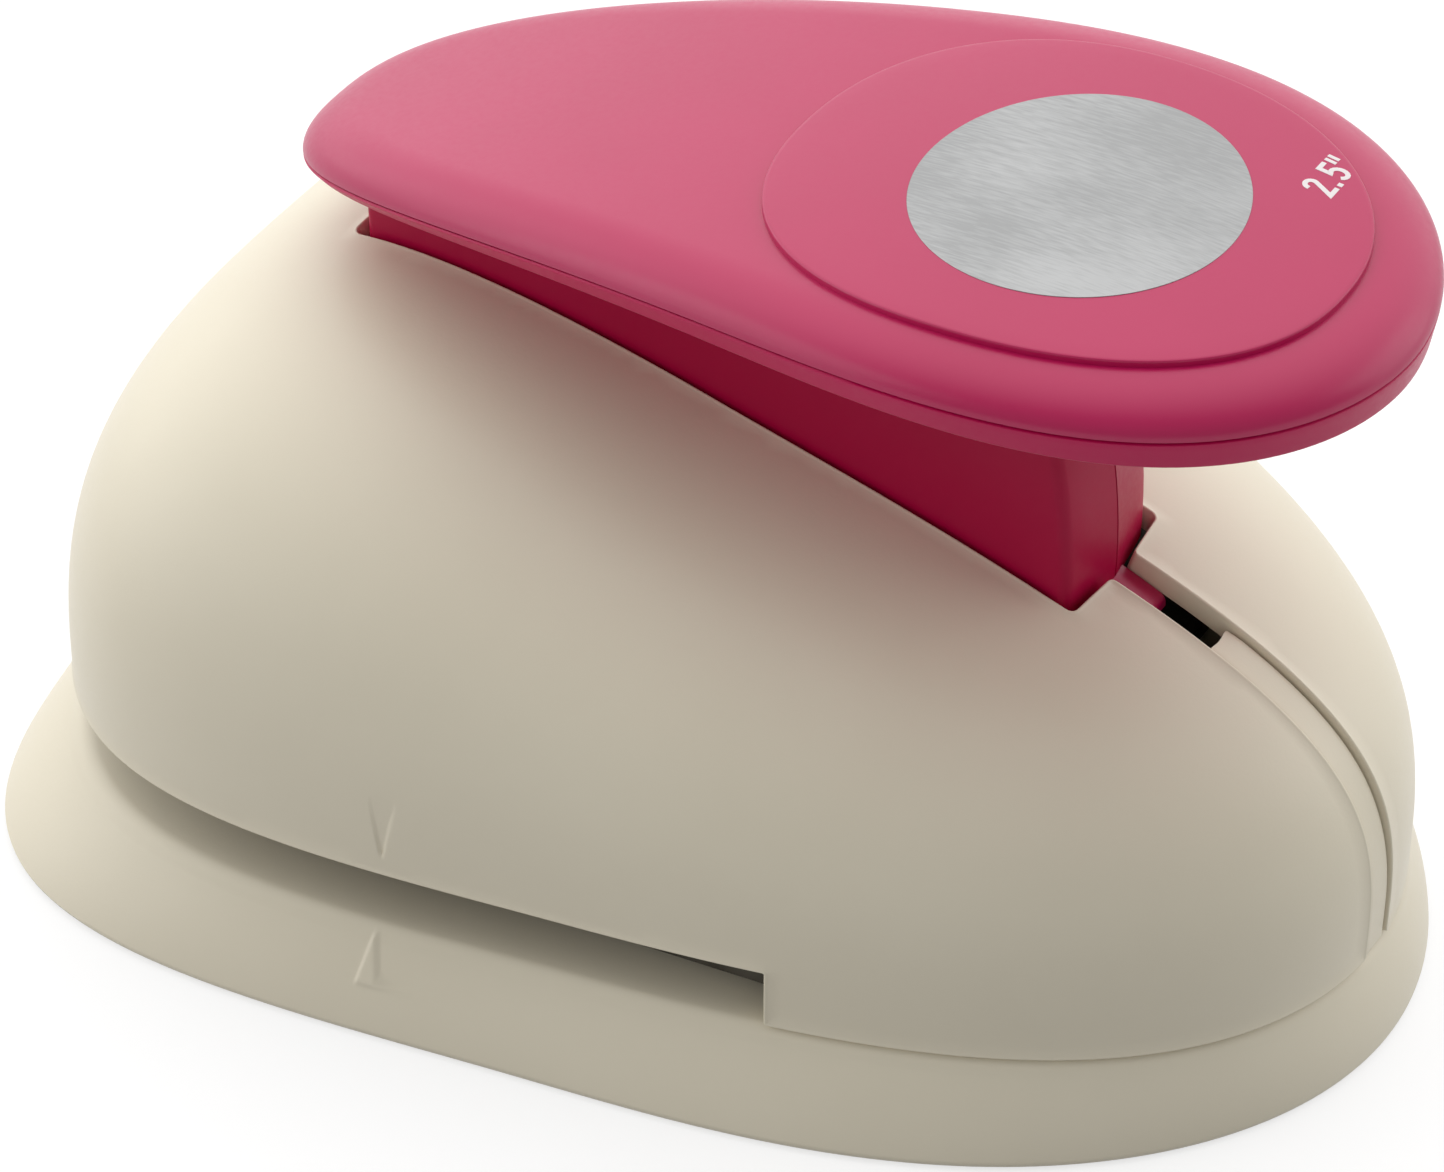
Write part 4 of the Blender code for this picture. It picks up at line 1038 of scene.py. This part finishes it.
def make_lower_shell():
    rows = [lever_ring(share, LOWER_SHEET_INSET, LOWER_TOP) for share in SHEET_SHARES[::2]]
    rows += [lever_ring(1, inset, LOWER_TOP) for inset in LOWER_INSETS]
    rows.append(lever_ring(1, LOWER_EDGE_INSET, LOWER_EDGE))
    for part in np.linspace(0, 1, 5):
        rise = -LOWER_EDGE_FALL + (LOWER_EDGE_FALL + LIP_ROUND) * part
        rows.append(lip_ring(1, LOWER_EDGE_INSET + LIP_INSET * part, part, rise))
    for turn in quarter_turns(4):
        inset = LOWER_EDGE_INSET + LIP_INSET + LIP_ROUND * (1 - math.cos(turn))
        rows.append(lip_ring(1, inset, 1, LIP_ROUND * (1 - math.sin(turn))))
    rows += [lip_ring(share, LIP_INSET + LIP_ROUND, 1) for share in SHEET_SHARES[::-3]]
    tips = lever_tip(LOWER_TOP), lever_tip(-float(lip_depth(LEVER_X)))
    # The lip's lighter magenta is painted reflection
    shell = new_object("lever_lower_shell", *skin(rows, *tips), "lever", LIT_LIP_MAGENTA, 35)
    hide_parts("lever_body")


def web_outline(across):
    """Side view of the web at a place across it."""
    share = abs(across) / WEB_HALF
    reach = WEB_REACH - WEB_RIDGE * share
    front = PIVOT_X - WEB_FRONT
    nose_z = RIDGE_TOP + CLEARANCE + NOSE_RADIUS
    points = [(front, PIVOT_Z)]
    for turn in np.radians(np.linspace(-165, -90, 6)):
        points.append((PIVOT_X + WEB_FRONT * math.cos(turn), PIVOT_Z + WEB_BOSS * math.sin(turn)))
    for turn in np.radians(np.linspace(-130, -50, 9)):
        points.append((PUNCH_X + NOSE_RADIUS * math.cos(turn), nose_z + NOSE_RADIUS * math.sin(turn)))
    press_edge = PUNCH_X + POST_SPREAD + EAR_RADIUS
    swing = (press_edge - PUNCH_X) * (RIDGE_TOP - GUIDE_TOP) / WEB_REACH
    points.append((press_edge, RIDGE_TOP + WEB_RELIEF + swing))
    points.append((press_edge + WEB_STEP_RUN, PIVOT_Z - WEB_REAR_DEPTH))
    top_x = PIVOT_X + math.sqrt(reach ** 2 - (SEAM - PIVOT_Z) ** 2)
    top_turn = math.atan2(seam_height(top_x) - LIP_DEPTH / 2 - PIVOT_Z, top_x - PIVOT_X)
    low_turn = -math.asin(WEB_REAR_DEPTH / reach)
    for turn in np.linspace(low_turn, top_turn, 17):
        points.append((PIVOT_X + reach * math.cos(turn), PIVOT_Z + reach * math.sin(turn)))
    for x in np.linspace(top_x, front, 14)[1:]:
        points.append((x, seam_height(x) - LIP_DEPTH / 2))
    return np.array(points)


def shrink(points, amount):
    """Closed side view set in by an amount."""
    before, after = np.roll(points, 1, axis=0), np.roll(points, -1, axis=0)
    first = points - before
    second = after - points
    first /= np.linalg.norm(first, axis=1)[:, None]
    second /= np.linalg.norm(second, axis=1)[:, None]
    normals = np.stack([-(first + second)[:, 1], (first + second)[:, 0]], -1)
    normals /= np.linalg.norm(normals, axis=1)[:, None]
    return points + normals * amount


def make_web():
    """Web with soft side edges, and a fine moulding line all round it at its middle."""
    stations = [(y, 0.0) for y in (WEB_LINE_HALF, *WEB_COLUMNS)]
    for turn in LIP_TURNS[::-1]:
        y = WEB_HALF - WEB_EDGE + WEB_EDGE * math.sin(turn)
        stations.append((y, WEB_EDGE * (1 - math.cos(turn))))
    full = [(-y, inset) for y, inset in reversed(stations)] + [(0.0, WEB_LINE_DEPTH)] + stations
    rows = [[(x, y, z) for x, z in shrink(web_outline(y), inset)] for y, inset in full]
    # The web's darker magenta is painted shade
    web = new_object("lever_web", *skin(rows), "lever", SHADED_WEB_MAGENTA, 40)


def make_toe():
    """Toe at the web's foot: a narrow tongue in the slot, which rounds off downwards at its end."""
    start = PIVOT_X + WEB_REACH - TOE_ROOT
    end = PIVOT_X + WEB_REACH + TOE_LENGTH
    straight = np.linspace(start, end - TOE_ROUND, 8)[:-1]
    rounded = end - TOE_ROUND * (1 - np.sin(np.linspace(0, math.pi / 2, 10)))
    xs = np.concatenate([straight, rounded])
    ridge = from_plane(housing_from_plan(xs, np.zeros(xs.shape)))[:, 2]
    round_off = np.sqrt(np.maximum(0.0, 1 - (np.maximum(xs - (end - TOE_ROUND), 0) / TOE_ROUND) ** 2))
    past_web = np.maximum(0, xs - PIVOT_X - WEB_REACH)
    tops = ridge - TOE_SINK - TOE_FALL * past_web - TOE_ROUND * (1 - round_off)
    low = tops[-1] - 2 * TOE_EDGE
    rows = []
    for x, top in zip(xs, tops):
        section = round_corners([(0, low), (TOE_HALF, low), (TOE_HALF, top), (0, top)], (0, TOE_EDGE))
        section += [(-y, z) for y, z in reversed(section[1:-1])]
        rows.append([(x, y, z) for y, z in section])
    toe = new_object("lever_toe", *skin(rows), "lever", MAGENTA, 40)


# Printed figure: its corner on the pad, and the widths of its strokes in millimetres
FIGURE_X = 0.05375
FIGURE_Y = 0.0113
FIGURE_STROKE = 0.50
DOT_STROKE = 0.52
INCH_STROKE = 0.40

# Limit of its mitres, points of its arcs, and the paint above and below the pad's surface
SHARPEST_CORNER = 0.4
ARC_POINTS = 14
PRINT_RISE = 0.00003
PRINT_SINK = 0.0002


def arc_points(x, y, half_width, half_height, start, end):
    turn = np.radians(np.linspace(start, end, ARC_POINTS))
    return list(zip(x + half_width * np.cos(turn), y + half_height * np.sin(turn)))


# Strokes of the cut size, 2.5 inches, in millimetres along the line of print and up from it
TWO = arc_points(0.84, 2.56, 0.58, 0.62, 185, -38) + [(0.30, 0.25), (1.66, 0.25)]
FIVE = [(4.52, 3.12), (3.40, 3.12), (3.32, 1.84)] + arc_points(3.76, 1.13, 0.64, 0.86, 120, -150)
FIGURE = (
    (TWO, FIGURE_STROKE),
    ([(2.02, 0.25), (2.54, 0.25)], DOT_STROKE),
    (FIVE, FIGURE_STROKE),
    ([(5.10, 3.34), (4.98, 2.10)], INCH_STROKE),
    ([(5.74, 3.34), (5.62, 2.10)], INCH_STROKE),
)


def stroke_sides(path, width):
    """Left and right side of a stroke along a path, mitred at its corners."""
    ways = np.diff(path, axis=0)
    ways /= np.linalg.norm(ways, axis=1)[:, None]
    first = np.concatenate([ways[:1], ways])
    second = np.concatenate([ways, ways[-1:]])
    side = np.stack([-(first + second)[:, 1], (first + second)[:, 0]], -1)
    side /= np.linalg.norm(side, axis=1)[:, None]
    mitre = np.abs(side[:, 0] * -first[:, 1] + side[:, 1] * first[:, 0])
    side /= np.maximum(SHARPEST_CORNER, mitre)[:, None]
    return path + side * width / 2, path - side * width / 2


def make_figure():
    """The cut size, printed on the pad: a thin layer of paint that follows the pad's crown."""
    vertices, faces = [], []
    for path, width in FIGURE:
        rings = []
        for left, right in zip(*stroke_sides(np.array(path), width)):
            ring = []
            corners = ((left, PRINT_RISE), (right, PRINT_RISE), (right, -PRINT_SINK), (left, -PRINT_SINK))
            for (along, up), rise in corners:
                x, y = FIGURE_X - up * MM, FIGURE_Y + along * MM
                ring.append((x, y, float(pad_height(x, y)) + rise))
            rings.append(ring)
        more_vertices, more_faces = skin(rings)
        faces += [tuple(len(vertices) + i for i in f) for f in more_faces]
        vertices += more_vertices
    new_object("size_figure", vertices, faces, "lever", PRINT, 40)


# Springs


def coil_rise(share):
    """Rise of the wire at a share of the spring's turns, which close up at each end."""
    whole = PRESS_LOW - GUIDE_TOP - 2 * SPRING_END - SPRING_WIRE
    closed = SPRING_CLOSED_TURNS / SPRING_TURNS
    rises = [0, SPRING_CLOSED_RISE, whole - SPRING_CLOSED_RISE, whole]
    return float(np.interp(share, [0, closed, 1 - closed, 1], rises))


def make_springs():
    low = GUIDE_TOP
    coil = POST_RADIUS + SPRING_RUN + SPRING_WIRE / 2
    total = int(SPRING_TURNS * SPRING_TURN_POINTS)
    section = [math.pi / 4 * k for k in range(8)]
    up = Vector((0, 0, 1))
    for number, (side_x, side_y) in enumerate(((-1, -1), (-1, 1), (1, -1), (1, 1)), 1):
        centre = Vector((PUNCH_X + side_x * POST_SPREAD, side_y * POST_SPREAD, 0))
        rows = []
        for step in range(total + 1):
            share = step / total
            angle = 2 * math.pi * SPRING_TURNS * share
            z = low + SPRING_END + SPRING_WIRE / 2 + coil_rise(share)
            middle = centre + Vector((coil * math.cos(angle), coil * math.sin(angle), z))
            out = Vector((math.cos(angle), math.sin(angle), 0))
            rows.append([tuple(middle + (out * math.cos(a) + up * math.sin(a)) * SPRING_WIRE / 2)
                         for a in section])
        made = new_object(f"return_coil_{number}", *skin(rows), "frame", SPRING, 60)
        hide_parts(f"return_spring_{number}")
        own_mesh(made)


# Stage

# Camera, with its focal length in pixels of the photograph
PHOTO_WIDTH = 1444
FOCAL_PIXELS = 4840.9
SENSOR_WIDTH = 36.0
CAMERA_PLACE = (0.20152, -0.31830, 0.37151)
CAMERA_BACK = (0.40381, -0.61606, 0.67632)
CAMERA_AZIMUTH = math.radians(33.243)
CAMERA_ROLL = math.radians(-0.424)


def make_camera():
    back = Vector(CAMERA_BACK).normalized()
    right = Vector((math.cos(CAMERA_AZIMUTH), math.sin(CAMERA_AZIMUTH), 0))
    up = back.cross(right)
    turned_right = math.cos(CAMERA_ROLL) * right + math.sin(CAMERA_ROLL) * up
    turned_up = math.cos(CAMERA_ROLL) * up - math.sin(CAMERA_ROLL) * right
    camera = bpy.data.cameras.new("camera")
    made = bpy.data.objects.new("camera", camera)
    bpy.context.scene.collection.objects.link(made)
    camera.sensor_fit = "HORIZONTAL"
    camera.sensor_width = SENSOR_WIDTH
    camera.lens = SENSOR_WIDTH * FOCAL_PIXELS / PHOTO_WIDTH
    camera.clip_start = 0.05
    camera.clip_end = 20
    matrix = Matrix((turned_right, turned_up, back)).transposed().to_4x4()
    matrix.translation = Vector(CAMERA_PLACE)
    made.matrix_world = matrix
    bpy.context.scene.camera = made


def area(name, direction, distance, width, height, strength):
    light = bpy.data.lights.new(name, "AREA")
    light.shape = "RECTANGLE"
    light.size = width
    light.size_y = height
    light.energy = strength * width * height * math.pi
    made = bpy.data.objects.new(name, light)
    bpy.context.scene.collection.objects.link(made)
    way = Vector(direction).normalized()
    made.location = Vector(LAMP_TARGET) + way * distance
    made.rotation_mode = "QUATERNION"
    made.rotation_quaternion = way.to_track_quat("Z", "Y")


# Name, direction, distance, width, height and radiance of each softbox
LAMPS = (
    ("softbox_left", (-0.92, -0.15, 0.35), 1.2, 0.9, 0.9, 0.34),
    ("softbox_left_front", (-0.70, -0.65, 0.30), 1.2, 0.9, 0.9, 1.09),
    ("softbox_right_back", (0.75, 0.60, 0.35), 1.3, 0.9, 0.9, 1.05),
)
LAMP_TARGET = (0, 0, 0.04)
# The room is lighter behind the object than in front of it
WORLD_BRIGHT_SIDE = (-0.55, 0.75, 0.35)
WORLD_LIGHT = 1.63
WORLD_DARK = 0.42
WORLD_TURN = (-0.05, 0.65)
# The floor glows white where it is seen, and lights the object like a grey one
FLOOR_HALF = 4
FLOOR_DROP = 0.00002
FLOOR_LIT = (0.35, 0.35, 0.35, 1)
FLOOR_SEEN = (0.40, 0.40, 0.40, 1)
FLOOR_GLOW = 0.66
WHITE = (1, 1, 1, 1)


def either(tree, first, second):
    made = node(tree, "ShaderNodeMath", operation="MAXIMUM")
    tree.links.new(first, made.inputs[0])
    tree.links.new(second, made.inputs[1])
    return made.outputs[0]


def make_floor():
    low, high = -FLOOR_HALF, FLOOR_HALF
    corners = [(low, low, 0), (high, low, 0), (high, high, 0), (low, high, 0)]
    floor = tool("floor", corners, [(0, 1, 2, 3)])
    made = bpy.data.materials.new("floor_white")
    made.use_nodes = True
    tree = made.node_tree
    tree.nodes.clear()
    out = node(tree, "ShaderNodeOutputMaterial")
    path = node(tree, "ShaderNodeLightPath")
    direct = either(tree, path.outputs["Is Camera Ray"], path.outputs["Is Glossy Ray"])
    seen = either(tree, direct, path.outputs["Is Transmission Ray"])
    lit_floor = node(tree, "ShaderNodeBsdfDiffuse")
    lit_floor.inputs["Color"].default_value = FLOOR_LIT
    seen_floor = node(tree, "ShaderNodeBsdfDiffuse")
    seen_floor.inputs["Color"].default_value = FLOOR_SEEN
    glow = node(tree, "ShaderNodeEmission")
    glow.inputs["Color"].default_value = WHITE
    glow.inputs["Strength"].default_value = FLOOR_GLOW
    both = node(tree, "ShaderNodeAddShader")
    mix = node(tree, "ShaderNodeMixShader")
    tree.links.new(seen_floor.outputs[0], both.inputs[0])
    tree.links.new(glow.outputs[0], both.inputs[1])
    tree.links.new(seen, mix.inputs["Fac"])
    tree.links.new(lit_floor.outputs[0], mix.inputs[1])
    tree.links.new(both.outputs[0], mix.inputs[2])
    tree.links.new(mix.outputs[0], out.inputs["Surface"])
    floor.data.materials.append(made)
    floor.location.z = -FLOOR_DROP


def make_world():
    world = bpy.data.worlds.new("studio")
    bpy.context.scene.world = world
    world.use_nodes = True
    tree = world.node_tree
    tree.nodes.clear()
    out = node(tree, "ShaderNodeOutputWorld")
    soft = node(tree, "ShaderNodeBackground")
    soft.inputs["Color"].default_value = WHITE
    place = node(tree, "ShaderNodeTexCoord")
    facing = node(tree, "ShaderNodeVectorMath", operation="DOT_PRODUCT")
    facing.inputs[1].default_value = Vector(WORLD_BRIGHT_SIDE).normalized()
    tree.links.new(place.outputs["Generated"], facing.inputs[0])
    level = spread(tree, facing.outputs["Value"], WORLD_DARK, WORLD_LIGHT, WORLD_TURN)
    tree.links.new(level, soft.inputs["Strength"])
    tree.links.new(soft.outputs[0], out.inputs["Surface"])


make_camera()
make_floor()
make_world()
for lamp in LAMPS:
    area(*lamp)
make_base()
make_housing()
make_spine()
make_cap()
make_pad()
make_disc()
make_lower_shell()
make_web()
make_toe()
make_figure()
make_springs()
bpy.context.scene.view_settings.view_transform = "Standard"
